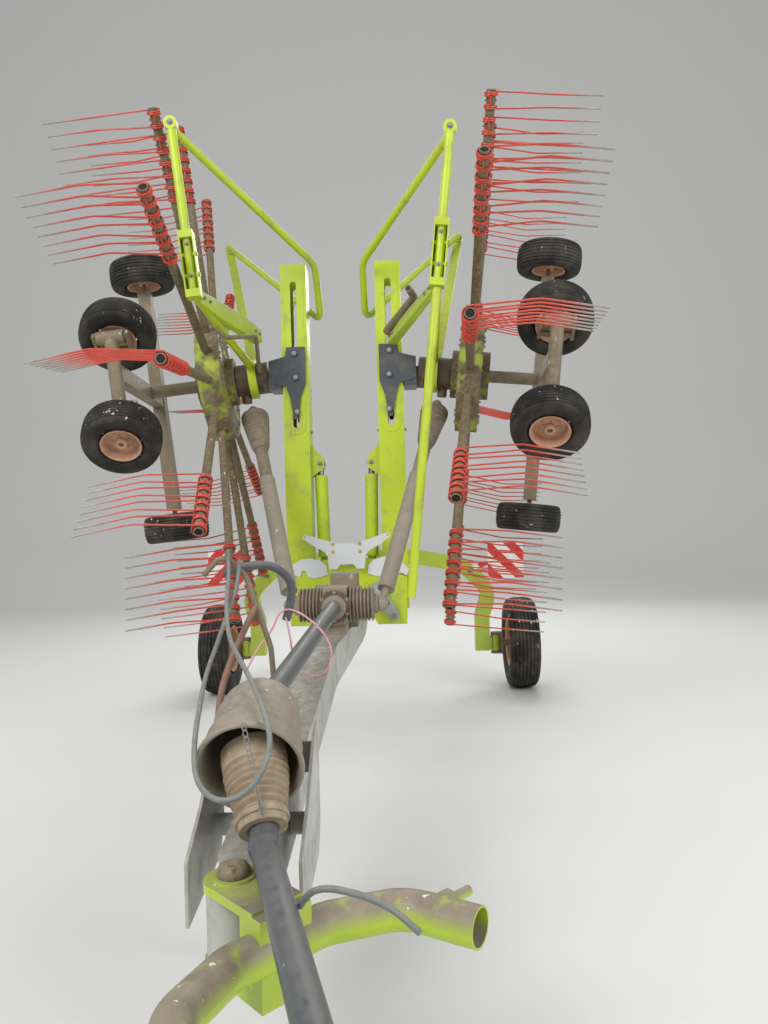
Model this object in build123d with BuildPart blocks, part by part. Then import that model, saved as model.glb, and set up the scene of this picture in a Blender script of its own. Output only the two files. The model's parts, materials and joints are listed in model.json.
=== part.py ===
from build123d import *
from math import cos, radians, sin, tan
import os

# Twin rotor rake for hay, folded upright for the road and parked on its stand.
# Millimetres. +Z is up, +Y points to the rear, the drawbar reaches to -Y, +X is the right seen from the front.
# The origin lies on the ground under the middle of the machine. Each rotor has its own frame:
# u runs up the folded rotor, f runs forward, n runs outward along the rotor's spin axis.

os.makedirs("parts", exist_ok=True)

# Running clearances
pin_gap = 0.3
slide_gap = 1.5
clear = 6

# Rotor place and pose, right-hand side
rotor_x = 811
rotor_y = 630
rotor_z = 2450
rotor_lean = 6.4
rotor_toe = 4.3

# Rotor
rotor_radius = 1600
arm_count = 12
arm_radius = 25
arm_root_radius = 240
arm_phase = {"right": 1.46, "left": 6.73}
hub_radius = 360
hub_half = 119
hub_rim_half = 70
column_radius = 39

# Tines: eight on each arm, as four double tines
tine_radius = 4.75
tine_pitch = 62
double_tines = 4
coil_radius = 39
coil_width = 24
tine_first = 18
tine_knee = (305, 83)
tine_tip = (592, 57)

# Rotor chassis under the rotor
frame_n = 460
cross_tube_f = 660
kingpin_u = 200
kingpin_radius = 18
sleeve_radius = 38
sleeve_half = 75
rear_beam_f = -320
rear_beam_half = 750
rear_beam_width = 100
rear_beam_height = 80
rotor_wheel_u = 870
stub_radius = 15

# Castors, at rest swung onto their stop
castor_swing = 42
castor_side = 150
castor_trail = 85

# Rotor wheels
small_tyre_radius = 215
small_tyre_width = 180
small_rim_radius = 104

# Transport wheels
wheel_x = 1366
axle_y = rotor_y + 2120
wheel_radius = 405
wheel_width = 262
wheel_rim_radius = 198
spindle_radius = 30

# Booms
boom_x = 300
boom_width = 162
boom_depth = 160
boom_wall = 10
boom_low = 985
boom_top = 3180
pivot_x = 240
pivot_z = 1100
pivot_radius = 25
slot_width = 41
slot_doubler = 4
slot_margin = 43
slot_low = 2140
slot_top = 3070

# Lift cylinders
cylinder_foot = (150, 1255)
cylinder_eye = (163, 1913)
barrel_radius = 41
rod_radius = 20
eye_radius = 32
cylinder_pin = 14
lug_gap_half = 30
lug_plate = 12

# Rotor drive shafts
ball_radius = 42
shaft_neck = 20
shaft_drop = 205
shaft_n = -200
lower_length = 900
lower_radius = 46
upper_radius = 38
bellows_radius = 92

# Guards round the rotors
guard_front_u = {"right": 1083, "left": 1178}
guard_rear_u = {"right": 1240, "left": 1228}
guard_f = 980
guard_level = {"right": -194, "left": -84}
leg_foot = {"right": -1350, "left": 255}
tray_span = (255, 605)
tray_width = 76
tray_wall = 6
leg_radius = 24
head_radius = 34
head_half = 25
bow_radius = 22
bow_high = (150, rotor_y - 150, 3150)
bow_low = (145, rotor_y + 90, 2860)
bow_bend = 150

# Main beam: rises from the hitch, runs level under the tower and falls to the axle
beam_width = 150
beam_height = 180
hitch_x = -85
hitch_y = rotor_y - 2910
hitch_z = 500
rise_y = rotor_y - 1300
fall_y = rotor_y + 320
level_z = 860
tail_z = 1205
gearbox_y = rotor_y - 850
gearbox_z = pivot_z

# Hitch
hitch_yaw = 45
arch_back = 200
arch_reach = 500
arch_half = 400
arch_radius = 52
arch_wall = 6
arch_z = 510

lean, toe = radians(rotor_lean), radians(rotor_toe)
up_dir = Vector(sin(lean), 0, cos(lean))
flat_forward = Vector(-sin(toe), -cos(toe), 0)
forward_dir = (flat_forward - up_dir * flat_forward.dot(up_dir)).normalized()
out_dir = up_dir.cross(forward_dir)
hub_centre = Vector(rotor_x, rotor_y, rotor_z)
sides = ("right", "left")


def spot(u, f, n):
    """Point of the right-hand rotor frame, in the machine's frame."""
    return hub_centre + up_dir * u + forward_dir * f + out_dir * n


def way(u, f, n):
    """Direction of the right-hand rotor frame, in the machine's frame."""
    return up_dir * u + forward_dir * f + out_dir * n


def bar(start, end, radius, mode=Mode.ADD):
    """Round bar from one point to another, added to the part being built."""
    run = Vector(*end) - Vector(*start)
    with BuildSketch(Plane(origin=Vector(*start), z_dir=run)) as section:
        Circle(radius)
    extrude(section.sketch, amount=run.length, mode=mode)


def beam(start, end, width, height, side_dir, mode=Mode.ADD):
    """Square-edged beam from one point to another; its width lies along side_dir."""
    run = Vector(*end) - Vector(*start)
    with BuildSketch(Plane(origin=Vector(*start), x_dir=Vector(*side_dir), z_dir=run)) as section:
        Rectangle(width, height)
    extrude(section.sketch, amount=run.length, mode=mode)


def plate(outline, thickness, plane, mode=Mode.ADD):
    """Flat plate with straight edges, centred on its plane."""
    with BuildSketch(plane) as section:
        with BuildLine():
            Polyline(*outline, close=True)
        make_face()
    extrude(section.sketch, amount=thickness / 2, both=True, mode=mode)


def turned(start, end, profile):
    """Solid turned about the line from start to end; the profile gives (radius, distance along)."""
    run = (Vector(*end) - Vector(*start)).normalized()
    side_dir = run.cross(Vector(0.123, 0.456, 0.789)).normalized()
    with BuildSketch(Plane(origin=Vector(*start), x_dir=side_dir, z_dir=side_dir.cross(run))) as section:
        with BuildLine():
            Polyline(*profile, close=True)
        make_face()
    revolve(section.sketch, axis=Axis(Vector(*start), run))


def ribs(length, low, high, count, bore):
    """Profile of a bellows: ribs between a low and a high radius round a bore."""
    points = [(bore, 0), (low, 0)]
    for k in range(count):
        points += [(high, (k + 0.35) * length / count), (high, (k + 0.65) * length / count),
                   (low, (k + 1) * length / count)]
    return points + [(bore, length)]


def ball(centre, radius):
    """Round joint between two bars."""
    with Locations(Vector(*centre)):
        Sphere(radius)


def bent_tube(points, radius, bends):
    """Tube through corners that are rounded to the given bend radii."""
    with BuildLine() as route:
        FilletPolyline(*[Vector(*p) for p in points], radius=bends)
    with BuildSketch(Plane(origin=route.line @ 0, z_dir=route.line % 0)) as section:
        Circle(radius)
    sweep(section.sketch, path=route.line)


def save(piece, name):
    """Label a finished piece and write its file."""
    piece.part.label = name
    export_step(piece.part, f"parts/{name}.step")
    print(name, len(piece.part.solids()), round(piece.part.volume / 1e6, 2))


def for_side(side):
    """Turn the right-hand piece being built into the left-hand one where that is asked for."""
    if side == "left":
        mirror(about=Plane.YZ, mode=Mode.REPLACE)


def face_plane(y):
    """Upright plane facing the front, seen with +X to the right."""
    return Plane(origin=(0, y, 0), x_dir=(1, 0, 0), z_dir=(0, -1, 0))


def beam_at(y):
    """Centre of the main beam at a given y, ahead of the tower."""
    rise = (y - hitch_y) / (rise_y - hitch_y)
    return Vector(hitch_x * (rotor_y - y) / (rotor_y - hitch_y), y, hitch_z + (level_z - hitch_z) * min(rise, 1))


with BuildPart() as main_beam:
    beam(beam_at(hitch_y + 135), beam_at(rise_y) + Vector(0, 20, 4), beam_width, beam_height, (1, 0, 0))
    beam(beam_at(rise_y) - Vector(0, 20, 0), (0, rotor_y, level_z), beam_width, beam_height, (1, 0, 0))
    beam((0, rotor_y - 40, level_z), (0, fall_y + 16, level_z), beam_width, beam_height, (1, 0, 0))
    beam((0, fall_y - 16, level_z), (0, axle_y - 120, tail_z), beam_width, beam_height, (1, 0, 0))
    beam((0, axle_y - 150, tail_z), (0, axle_y - 70, tail_z), beam_width, beam_height, (1, 0, 0))
    bar((hitch_x, hitch_y, hitch_z - 84), (hitch_x, hitch_y, hitch_z + 84), 72)
    beam((hitch_x, hitch_y, hitch_z), beam_at(hitch_y + 170), 120, 116, (1, 0, 0))
    bar((hitch_x, hitch_y, hitch_z - 200), (hitch_x, hitch_y, hitch_z + 200), 30 + pin_gap, mode=Mode.SUBTRACT)
save(main_beam, "main_beam")

# Centre tower with the ears that carry the boom pivots
tower_half = 112
ear_gap = boom_depth / 2 + clear
ear_plate = 20
ear_face = rotor_y - ear_gap - ear_plate
with BuildPart() as centre_frame:
    tower_low = level_z + beam_height / 2
    beam((0, rotor_y, tower_low), (0, rotor_y, 1300), 2 * tower_half, 2 * (ear_gap + ear_plate), (1, 0, 0))
    for face in (-1, 1):
        ear_y = rotor_y + face * (ear_gap + ear_plate / 2)
        plate(((-365, 890), (-185, 890), (-tower_half, 1000), (tower_half, 1000), (185, 890), (365, 890),
               (372, 1180), (150, 1300), (-150, 1300), (-372, 1180)), ear_plate, face_plane(ear_y))
    for hand in (-1, 1):
        bar((hand * pivot_x, rotor_y - ear_gap - ear_plate - 14, pivot_z),
            (hand * pivot_x, rotor_y + ear_gap + ear_plate + 14, pivot_z), pivot_radius)
        foot_x, foot_z = cylinder_foot
        for face in (-1, 1):
            lug_y = rotor_y + face * (lug_gap_half + lug_plate / 2)
            plate(((hand * (tower_half - 5), foot_z - 45), (hand * (foot_x + 25), foot_z - 45),
                   (hand * (foot_x + 25), foot_z + 25), (hand * (tower_half - 5), foot_z + 45)),
                  lug_plate, face_plane(lug_y))
        bar((hand * foot_x, rotor_y - lug_gap_half - lug_plate, foot_z),
            (hand * foot_x, rotor_y + lug_gap_half + lug_plate, foot_z), cylinder_pin)
save(centre_frame, "centre_frame")

# Pale plates on the front of the tower: the horned saddle, the notched quadrants and a locking lever
saddle_outline = ((-262, 1466), (-130, 1424), (-60, 1404), (60, 1404), (130, 1424), (262, 1466), (277, 1444),
                  (205, 1392), (140, 1356), (118, 1325), (110, 1245), (62, 1245), (40, 1275), (-40, 1275),
                  (-62, 1245), (-110, 1245), (-118, 1325), (-140, 1356), (-205, 1392), (-277, 1444))
quadrant_outline = ((125, 1210), (130, 1262), (165, 1297), (230, 1314), (290, 1308), (345, 1278), (385, 1232),
                    (370, 1192), (335, 1210), (300, 1196), (286, 1236), (264, 1236), (250, 1196), (205, 1188),
                    (160, 1198))
saddle_y = ear_face - 44
with BuildPart() as pivot_plates:
    with BuildSketch(face_plane(saddle_y + 6)) as saddle:
        with BuildLine():
            Polyline(*saddle_outline, close=True)
        make_face()
        with Locations((-258, 1450), (258, 1450)):
            Circle(8, mode=Mode.SUBTRACT)
    extrude(saddle.sketch, amount=12)
    beam((0, ear_face, 1283), (0, saddle_y + 6, 1283), 120, 30, (1, 0, 0))
    beam((0, ear_face, 1335), (0, saddle_y + 6, 1335), 120, 60, (1, 0, 0))
    beam((0, ear_face + 60, 1325), (0, ear_face, 1325), 120, 49, (1, 0, 0))
    for hand in (-1, 1):
        plate([(hand * x, z) for x, z in quadrant_outline], 8, face_plane(ear_face - 4.2))
save(pivot_plates, "pivot_plates")

with BuildPart() as locking_lever:
    lever_eye = (286, 946)
    with BuildSketch(face_plane(ear_face - 16)) as lever:
        with BuildLine():
            Polyline((150, 1140), (196, 1162), (318, 962), (304, 918), (268, 914), (136, 1102), close=True)
        make_face()
    extrude(lever.sketch, amount=16)
    bar((lever_eye[0], ear_face - 0.3, lever_eye[1]), (lever_eye[0], ear_face - 44, lever_eye[1]), 27)
save(locking_lever, "locking_lever")

# Rear axle: a high bow with the steering kingpins at its feet
knuckle_x = wheel_x - wheel_width / 2 - 95
axle_z = wheel_radius
axle_crown = tail_z
bow_depth = 110
bow_height = 130
foot_x = knuckle_x - 118
half_bow = [(420, axle_crown), (860, 1120), (1100, 880), (foot_x, 650), (foot_x, axle_z - 65)]
with BuildPart() as rear_axle_beam:
    beam((0, axle_y - 69.8, axle_crown), (0, axle_y + 70, axle_crown), 220, 190, (1, 0, 0))
    with BuildLine() as bow_line:
        FilletPolyline(*[Vector(-x, axle_y, z) for x, z in reversed(half_bow)],
                       *[Vector(x, axle_y, z) for x, z in half_bow],
                       radius=[150, 190, 380, 500, 500, 380, 190, 150])
    with BuildSketch(Plane(origin=bow_line.line @ 0, x_dir=(0, 1, 0), z_dir=bow_line.line % 0)) as bow_section:
        Rectangle(bow_depth, bow_height)
    sweep(bow_section.sketch, path=bow_line.line)
    for hand in (-1, 1):
        beam((hand * foot_x, axle_y, axle_z), (hand * (knuckle_x - 34), axle_y, axle_z), 90, 110, (0, 1, 0))
        bar((hand * knuckle_x, axle_y, axle_z - 70), (hand * knuckle_x, axle_y, axle_z + 70), 42)
        bar((hand * knuckle_x, axle_y, axle_z - 70), (hand * knuckle_x, axle_y, axle_z + 70),
            22 + pin_gap, mode=Mode.SUBTRACT)
save(rear_axle_beam, "rear_axle_beam")

# Red and white boards on arms from the axle
board_at = (1196, rotor_y + 1640, 1175)
arm_x = 920
arm_z = 1065
with BuildPart() as marker_boards:
    board_x, board_y, board_z = board_at
    for hand in (-1, 1):
        elbow = Vector(hand * arm_x, axle_y - bow_depth / 2 - 60, arm_z)
        arm_end = Vector(hand * arm_x, board_y + 14, board_z - 60)
        beam((hand * board_x, board_y, board_z - 150), (hand * board_x, board_y, board_z + 150), 300, 4, (1, 0, 0))
        beam((hand * (board_x - 110), board_y + 14, board_z), arm_end, 24, 40, (0, 1, 0))
        bar(arm_end + Vector(hand * 10, 0, 0), elbow, 16)
        ball(elbow, 16)
        bar(elbow, elbow + Vector(0, 60 - pin_gap, 0), 16)
save(marker_boards, "marker_boards")

# Hook that holds the hoses beside the drive shaft
hook_y = rotor_y - 1900
hook_foot = beam_at(hook_y) - Vector(beam_width / 2 + 11.9, 0, 60)
hook_end = Vector(-420, hook_y, 1340)
with BuildPart() as hose_holder:
    bent_tube((hook_foot, hook_foot + Vector(0, 0, 120), (-160, hook_y, 1050), (-250, hook_y, 1330),
               (-340, hook_y, 1425), hook_end), 11, [120, 150, 80, 45])
save(hose_holder, "hose_holder")

# Gearbox that shares the drive between the two rotors; its cups hold the ball ends of the rotor shafts
cup_rim = ((ball_radius + pin_gap) ** 2 - 20 ** 2) ** 0.5
cup_foot = 50 - pivot_x
with BuildPart() as centre_gearbox:
    beam((0, gearbox_y - 105, gearbox_z), (0, gearbox_y + 105, gearbox_z), 124, 190, (1, 0, 0))
    beam((0, gearbox_y, level_z + beam_height / 2), (0, gearbox_y, gearbox_z - 60), 110, 150, (1, 0, 0))
    bar((0, gearbox_y - 170, gearbox_z), (0, gearbox_y, gearbox_z), 62)
    beam((10, gearbox_y + 104, gearbox_z + 74), (-30, gearbox_y + 330, gearbox_z + 74), 240, 14, (1, 0, 0))
    beam((20, gearbox_y + 300, level_z + beam_height / 2), (20, gearbox_y + 300, gearbox_z + 150),
         150, 180, (1, 0, 0))
    for hand in (-1, 1):
        joint = Vector(hand * pivot_x, gearbox_y, pivot_z)
        with BuildSketch(Plane(origin=joint, x_dir=(hand, 0, 0), z_dir=(0, -hand, 0))) as cup:
            with BuildLine():
                Polyline((-20, cup_rim), (-20, 52), (cup_foot, 52), (cup_foot, 0), (-ball_radius - pin_gap, 0))
                RadiusArc((-ball_radius - pin_gap, 0), (-20, cup_rim), ball_radius + pin_gap)
            make_face()
        revolve(cup.sketch, axis=Axis(joint, (1, 0, 0)))
save(centre_gearbox, "centre_gearbox")

# Ribbed bellows on both sides of the gearbox, over the joint cups
with BuildPart() as joint_bellows:
    for hand in (-1, 1):
        turned((hand * 66, gearbox_y, gearbox_z), (hand * 200, gearbox_y, gearbox_z),
               ribs(pivot_x - 106, 72, 95, 7, 52 + pin_gap))
save(joint_bellows, "joint_bellows")

# Drive shaft to the tractor: tube to the cradle, bell guard, bellows over the joint and the guard tube
pto_top = Vector(0, gearbox_y - 170 - pin_gap, gearbox_z)
bell_back = Vector(-95, rotor_y - 2426, 940)
bell_rim = Vector(-82, rotor_y - 2700, 824)
collar_at = Vector(-25, rotor_y - 2800, 690)
tube_top = Vector(-12, rotor_y - 2862, 668)
pto_low = Vector(255, rotor_y - 3700, 620)
yoke_length = 80
spline_radius = 17.45
bell_length = (bell_rim - bell_back).length
bellows_start = bell_back + (bell_rim - bell_back) * 0.72
bellows_dir = (collar_at - bellows_start).normalized()
with BuildPart() as pto_shaft:
    bar(pto_top, pto_top - Vector(0, 60, 0), 38)
    ball(pto_top - Vector(0, 60, 0), 40)
    bar(pto_top - Vector(0, 60, 0), bell_back, 38)
    ball(bell_back, 60)
    bar(bell_back, bellows_start, 30)
    ball(bellows_start, 34)
    bar(bellows_start, collar_at, 30)
    bar(collar_at - bellows_dir * 40, collar_at, 46.5 - pin_gap)
    bar(collar_at, tube_top, 40)
    bar(tube_top, pto_low, 38)
    ball(tube_top, 44)
    pto_dir = (pto_low - tube_top).normalized()
    bar(pto_low, pto_low + pto_dir * yoke_length, 30)
    bar(pto_low, pto_low + pto_dir * (yoke_length + 1), spline_radius, mode=Mode.SUBTRACT)
save(pto_shaft, "pto_shaft")

with BuildPart() as pto_guards:
    turned(bell_back, bell_rim, ((60.3, -20), (96, -20), (128, 30), (140, 150), (150, bell_length),
                                 (144, bell_length), (134, 150), (122, 36), (92, -8), (60.3, -8)))
    bellows_run = (collar_at - bellows_start).length
    turned(bellows_start, collar_at, [(62, 0), (98, 0), (98, bellows_run * 0.3), (88, bellows_run * 0.36)]
           + [(r, bellows_run * t) for r, t in ((96, 0.42), (88, 0.48), (93, 0.54), (84, 0.60), (88, 0.66),
                                               (78, 0.72), (82, 0.78), (72, 0.84), (72, 1.0), (46.5, 1.0),
                                               (46.5, 0.8))])
save(pto_guards, "pto_guards")

# Cradle: two pale side plates on the drawbar with a cross plate that carries the bell guard's bearing
cradle_half = 160
cradle_x = -85
with BuildPart() as pto_cradle:
    for hand in (-1, 1):
        cheek = Plane(origin=(cradle_x + hand * cradle_half, 0, 0), x_dir=(0, 1, 0), z_dir=(1, 0, 0))
        plate(((rotor_y - 2800, 420), (rotor_y - 2440, 470), (rotor_y - 2380, 560), (rotor_y - 2380, 900),
               (rotor_y - 2470, 850), (rotor_y - 2640, 700), (rotor_y - 2800, 600)), 10, cheek)
    beam((cradle_x, rotor_y - 2392, 765), (cradle_x, rotor_y - 2380, 765), 2 * cradle_half + 8, 100, (1, 0, 0))
    cross = beam_at(rotor_y - 2500)
    for hand in (-1, 1):
        bar(cross + Vector(hand * (beam_width / 2 + 1.5), 0, 0),
            (cradle_x + hand * cradle_half, rotor_y - 2500, cross.Z), 34)
save(pto_cradle, "pto_cradle")

# Parking stand beside the beam: a leg that swings up
stand_y = rotor_y - 2230
stand_foot = beam_at(stand_y)
stand_x = stand_foot.X - beam_width / 2 - 60
stand_pin_gap = 1.4
with BuildPart() as parking_stand:
    beam((stand_x, stand_y, 12), (stand_x, stand_y, stand_foot.Z + 50), 60, 60, (1, 0, 0))
    beam((stand_x, stand_y, 0), (stand_x, stand_y, 12), 136, 220, (1, 0, 0))
    bar((stand_foot.X - beam_width / 2 - stand_pin_gap, stand_y, stand_foot.Z),
        (stand_x, stand_y, stand_foot.Z), 22)
save(parking_stand, "parking_stand")

# Hitch: a head that turns on the drawbar and a curved arch with the lower-link pins at its ends
link_inset = 150
link_aside = 390
link_length = 140
link_radius = 14
yaw = radians(hitch_yaw)
arch_dir = Vector(sin(yaw), -cos(yaw), 0)
arch_side = Vector(cos(yaw), sin(yaw), 0)


def hitch_spot(ahead, aside, z):
    """Point of the turned hitch: ahead of its pivot, to its right and at a height."""
    return Vector(hitch_x, hitch_y, z) + arch_dir * ahead + arch_side * aside


with BuildPart() as hitch_arch:
    for face in (-1, 1):
        cheek_z = hitch_z + face * 100
        bar((hitch_x, hitch_y, cheek_z - 12), (hitch_x, hitch_y, cheek_z + 12), 78)
        beam((hitch_x, hitch_y, cheek_z), hitch_spot(arch_back, 0, cheek_z), 150, 24, arch_side)
    bar((hitch_x, hitch_y, hitch_z - 116), (hitch_x, hitch_y, hitch_z + 116), 30)
    bar((hitch_x, hitch_y, hitch_z + 100), (hitch_x, hitch_y, hitch_z + 118), 56)
    beam(hitch_spot(arch_back - 10, 0, hitch_z - 112), hitch_spot(arch_back - 10, 0, hitch_z + 104),
         150, 90, arch_side)
    half_arch = [(arch_reach, arch_half), (arch_back + 90, arch_half * 0.85), (arch_back, arch_half * 0.35)]
    arch_points = ([hitch_spot(along, -aside, arch_z) for along, aside in half_arch]
                   + [hitch_spot(along, aside, arch_z) for along, aside in reversed(half_arch)])
    bent_tube(arch_points, arch_radius, [120, 120, 120, 120])
    for hand in (-1, 1):
        mouth = hitch_spot(arch_reach, hand * arch_half, arch_z)
        inward = (hitch_spot(arch_back + 90, hand * arch_half * 0.85, arch_z) - mouth).normalized()
        bar(mouth - inward, mouth + inward * 90, arch_radius - arch_wall, mode=Mode.SUBTRACT)
    for hand in (-1, 1):
        link = hitch_spot(arch_reach - link_inset, hand * link_aside, arch_z)
        bar(link, link + arch_side * hand * link_length, link_radius)
        bar(link + arch_side * hand * 30, link + arch_side * hand * (arch_radius + 12), 30)
save(hitch_arch, "hitch_arch")


def wheel_profile(radius, width, rim, bore):
    """Half section of a wheel about its axis: tyre and rim in one outline, r across and x along."""
    half = width / 2
    return ((bore, -half * 0.55), (rim * 0.55, -half * 0.35), (rim, -half * 0.8), (radius * 0.8, -half),
            (radius * 0.96, -half * 0.82), (radius, -half * 0.45), (radius, half * 0.45),
            (radius * 0.96, half * 0.82), (radius * 0.8, half), (rim, half * 0.8), (rim * 0.55, half * 0.35),
            (bore, half * 0.55))


def wheel(centre, axis, radius, width, rim, bore):
    """Wheel turned about its axis through a centre."""
    axis = Vector(*axis).normalized()
    side_dir = axis.cross(Vector(0.123, 0.456, 0.789)).normalized()
    with BuildSketch(Plane(origin=Vector(*centre), x_dir=side_dir, z_dir=side_dir.cross(axis))) as section:
        with BuildLine():
            Polyline(*wheel_profile(radius, width, rim, bore), close=True)
        make_face()
    revolve(section.sketch, axis=Axis(Vector(*centre), axis))


for side, hand in zip(sides, (1, -1)):
    with BuildPart() as knuckle:
        bar((knuckle_x, axle_y, wheel_radius - 95), (knuckle_x, axle_y, wheel_radius + 95), 22)
        for z in (-1, 1):
            bar((knuckle_x, axle_y, wheel_radius + z * 76), (knuckle_x, axle_y, wheel_radius + z * 96), 42)
        beam((knuckle_x + 52, axle_y, wheel_radius - 96), (knuckle_x + 52, axle_y, wheel_radius + 96),
             20, 84, (1, 0, 0))
        for z in (-1, 1):
            beam((knuckle_x, axle_y, wheel_radius + z * 86), (knuckle_x + 62, axle_y, wheel_radius + z * 86),
                 84, 20, (0, 1, 0))
        bar((knuckle_x + 50, axle_y, wheel_radius), (wheel_x + 60, axle_y, wheel_radius), spindle_radius)
        for_side(side)
    save(knuckle, f"steering_knuckle_{side}")

    with BuildPart() as transport_wheel:
        wheel((wheel_x, axle_y, wheel_radius), (1, 0, 0), wheel_radius, wheel_width, wheel_rim_radius,
              spindle_radius + pin_gap)
        for_side(side)
    save(transport_wheel, f"transport_wheel_{side}")

    # Boom: upright box with a long slot that the rotor carriage slides in
    with BuildPart() as boom:
        beam((boom_x, rotor_y, boom_low), (boom_x, rotor_y, boom_top), boom_width, boom_depth, (1, 0, 0))
        beam((boom_x, rotor_y, boom_low + 260), (boom_x, rotor_y, boom_top + 10), boom_width - 2 * boom_wall,
             boom_depth - 2 * boom_wall, (1, 0, 0), mode=Mode.SUBTRACT)
        eye_x, eye_z = cylinder_eye
        for face in (-1, 1):
            lug_y = rotor_y + face * (lug_gap_half + lug_plate / 2)
            plate(((boom_x - boom_width / 2 + 5, eye_z - 90), (eye_x - 25, eye_z - 30), (eye_x - 25, eye_z + 25),
                   (boom_x - boom_width / 2 + 5, eye_z + 130)), lug_plate, face_plane(lug_y))
        for face in (-1, 1):
            with BuildSketch(face_plane(rotor_y + face * (boom_depth + slot_doubler) / 2)) as doubler:
                with Locations((boom_x, (slot_low + slot_top) / 2)):
                    SlotOverall(slot_top - slot_low + 2 * slot_margin, slot_width + 2 * slot_margin, rotation=90)
            extrude(doubler.sketch, amount=slot_doubler / 2, both=True)
        with BuildSketch(face_plane(rotor_y)) as slot:
            with Locations((boom_x, (slot_low + slot_top) / 2)):
                SlotOverall(slot_top - slot_low, slot_width, rotation=90)
        extrude(slot.sketch, amount=boom_depth, both=True, mode=Mode.SUBTRACT)
        bar((pivot_x, rotor_y - boom_depth, pivot_z), (pivot_x, rotor_y + boom_depth, pivot_z),
            pivot_radius + pin_gap, mode=Mode.SUBTRACT)
        for_side(side)
    save(boom, f"boom_{side}")

    # Lift cylinder: barrel pinned to the tower, rod that reaches the boom's lug
    foot = Vector(cylinder_foot[0], rotor_y, cylinder_foot[1])
    eye = Vector(cylinder_eye[0], rotor_y, cylinder_eye[1])
    stroke_dir = (eye - foot).normalized()
    with BuildPart() as barrel:
        bar(foot, foot + stroke_dir * 70, 26)
        bar(foot + stroke_dir * 62, eye - stroke_dir * 75, barrel_radius)
        bar(foot - Vector(0, lug_gap_half - 2, 0), foot + Vector(0, lug_gap_half - 2, 0), eye_radius)
        bar(foot - Vector(0, lug_gap_half, 0), foot + Vector(0, lug_gap_half, 0), cylinder_pin + pin_gap,
            mode=Mode.SUBTRACT)
        bar(foot + stroke_dir * 80, eye, rod_radius + pin_gap, mode=Mode.SUBTRACT)
        for_side(side)
    save(barrel, f"lift_cylinder_barrel_{side}")
    with BuildPart() as rod:
        bar(foot + stroke_dir * 85, eye, rod_radius)
        bar(eye - Vector(0, lug_gap_half - 6, 0), eye + Vector(0, lug_gap_half - 6, 0), eye_radius)
        for_side(side)
    save(rod, f"lift_cylinder_rod_{side}")

    # Carriage that slides on the boom and holds the rotor's gear head
    carriage_face = 466
    block_low, block_top = 2290, 2590
    cheek_y = boom_depth / 2 + slot_doubler + slide_gap + 6
    with BuildPart() as carriage:
        beam((boom_x, rotor_y, block_low), (boom_x, rotor_y, block_top), slot_width - 2 * pin_gap,
             2 * cheek_y, (1, 0, 0))
        for face in (-1, 1):
            plate(((boom_x - 14, 2196), (boom_x + 12, 2196), (boom_x + 34, 2330), (boom_x + 60, 2404),
                   (carriage_face, 2427), (carriage_face, 2565), (boom_x + 60, 2592), (boom_x + 50, 2650),
                   (boom_x - 66, 2650), (boom_x - 66, 2420), (boom_x - 34, 2330)), 12,
                  face_plane(rotor_y + face * cheek_y))
            for bolt_x, bolt_z in ((boom_x, 2608), (boom_x - 5, 2456), (boom_x - 10, 2239)):
                bar((bolt_x, rotor_y + face * (cheek_y + 5), bolt_z),
                    (bolt_x, rotor_y + face * (cheek_y + 20), bolt_z), 19)
        beam((boom_x + boom_width / 2 + clear, rotor_y, rotor_z), (carriage_face, rotor_y, rotor_z), 132,
             2 * cheek_y, (0, 0, 1))
        for_side(side)
    save(carriage, f"rotor_carriage_{side}")

    with BuildPart() as gear_head:
        bar(spot(0, 0, -125), spot(0, 0, -330), 100)
        bar(spot(0, 0, shaft_n + 30), spot(-150, 0, shaft_n + 30), 30)
        beam((carriage_face, rotor_y, rotor_z), (carriage_face + 40, rotor_y, rotor_z), 120, 120, (0, 0, 1))
        for_side(side)
    save(gear_head, f"gear_head_{side}")

    # Rotor: hub with twelve arms
    arm_places = []
    for k in range(arm_count):
        angle = radians(arm_phase[side] + 360 / arm_count * k)
        arm_places.append(Plane(origin=hub_centre, x_dir=way(cos(angle), sin(angle), 0), z_dir=out_dir).location)
    with BuildPart() as arm:
        with Locations(Location((0, 0, 0), (0, 90, 0))):
            Cylinder(arm_radius, rotor_radius - arm_root_radius, align=(Align.CENTER, Align.CENTER, Align.MIN))
    with BuildPart() as hub:
        bar(spot(0, 0, -hub_half), spot(0, 0, hub_half), 150)
        bar(spot(0, 0, -hub_rim_half), spot(0, 0, hub_rim_half), hub_radius)
        with Locations(*[place * Location((arm_root_radius, 0, 0)) for place in arm_places]):
            add(arm.part)
        bar(spot(0, 0, -hub_half - 1), spot(0, 0, hub_half + 1), column_radius + pin_gap, mode=Mode.SUBTRACT)
        for_side(side)
    save(hub, f"rotor_hub_{side}")

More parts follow.
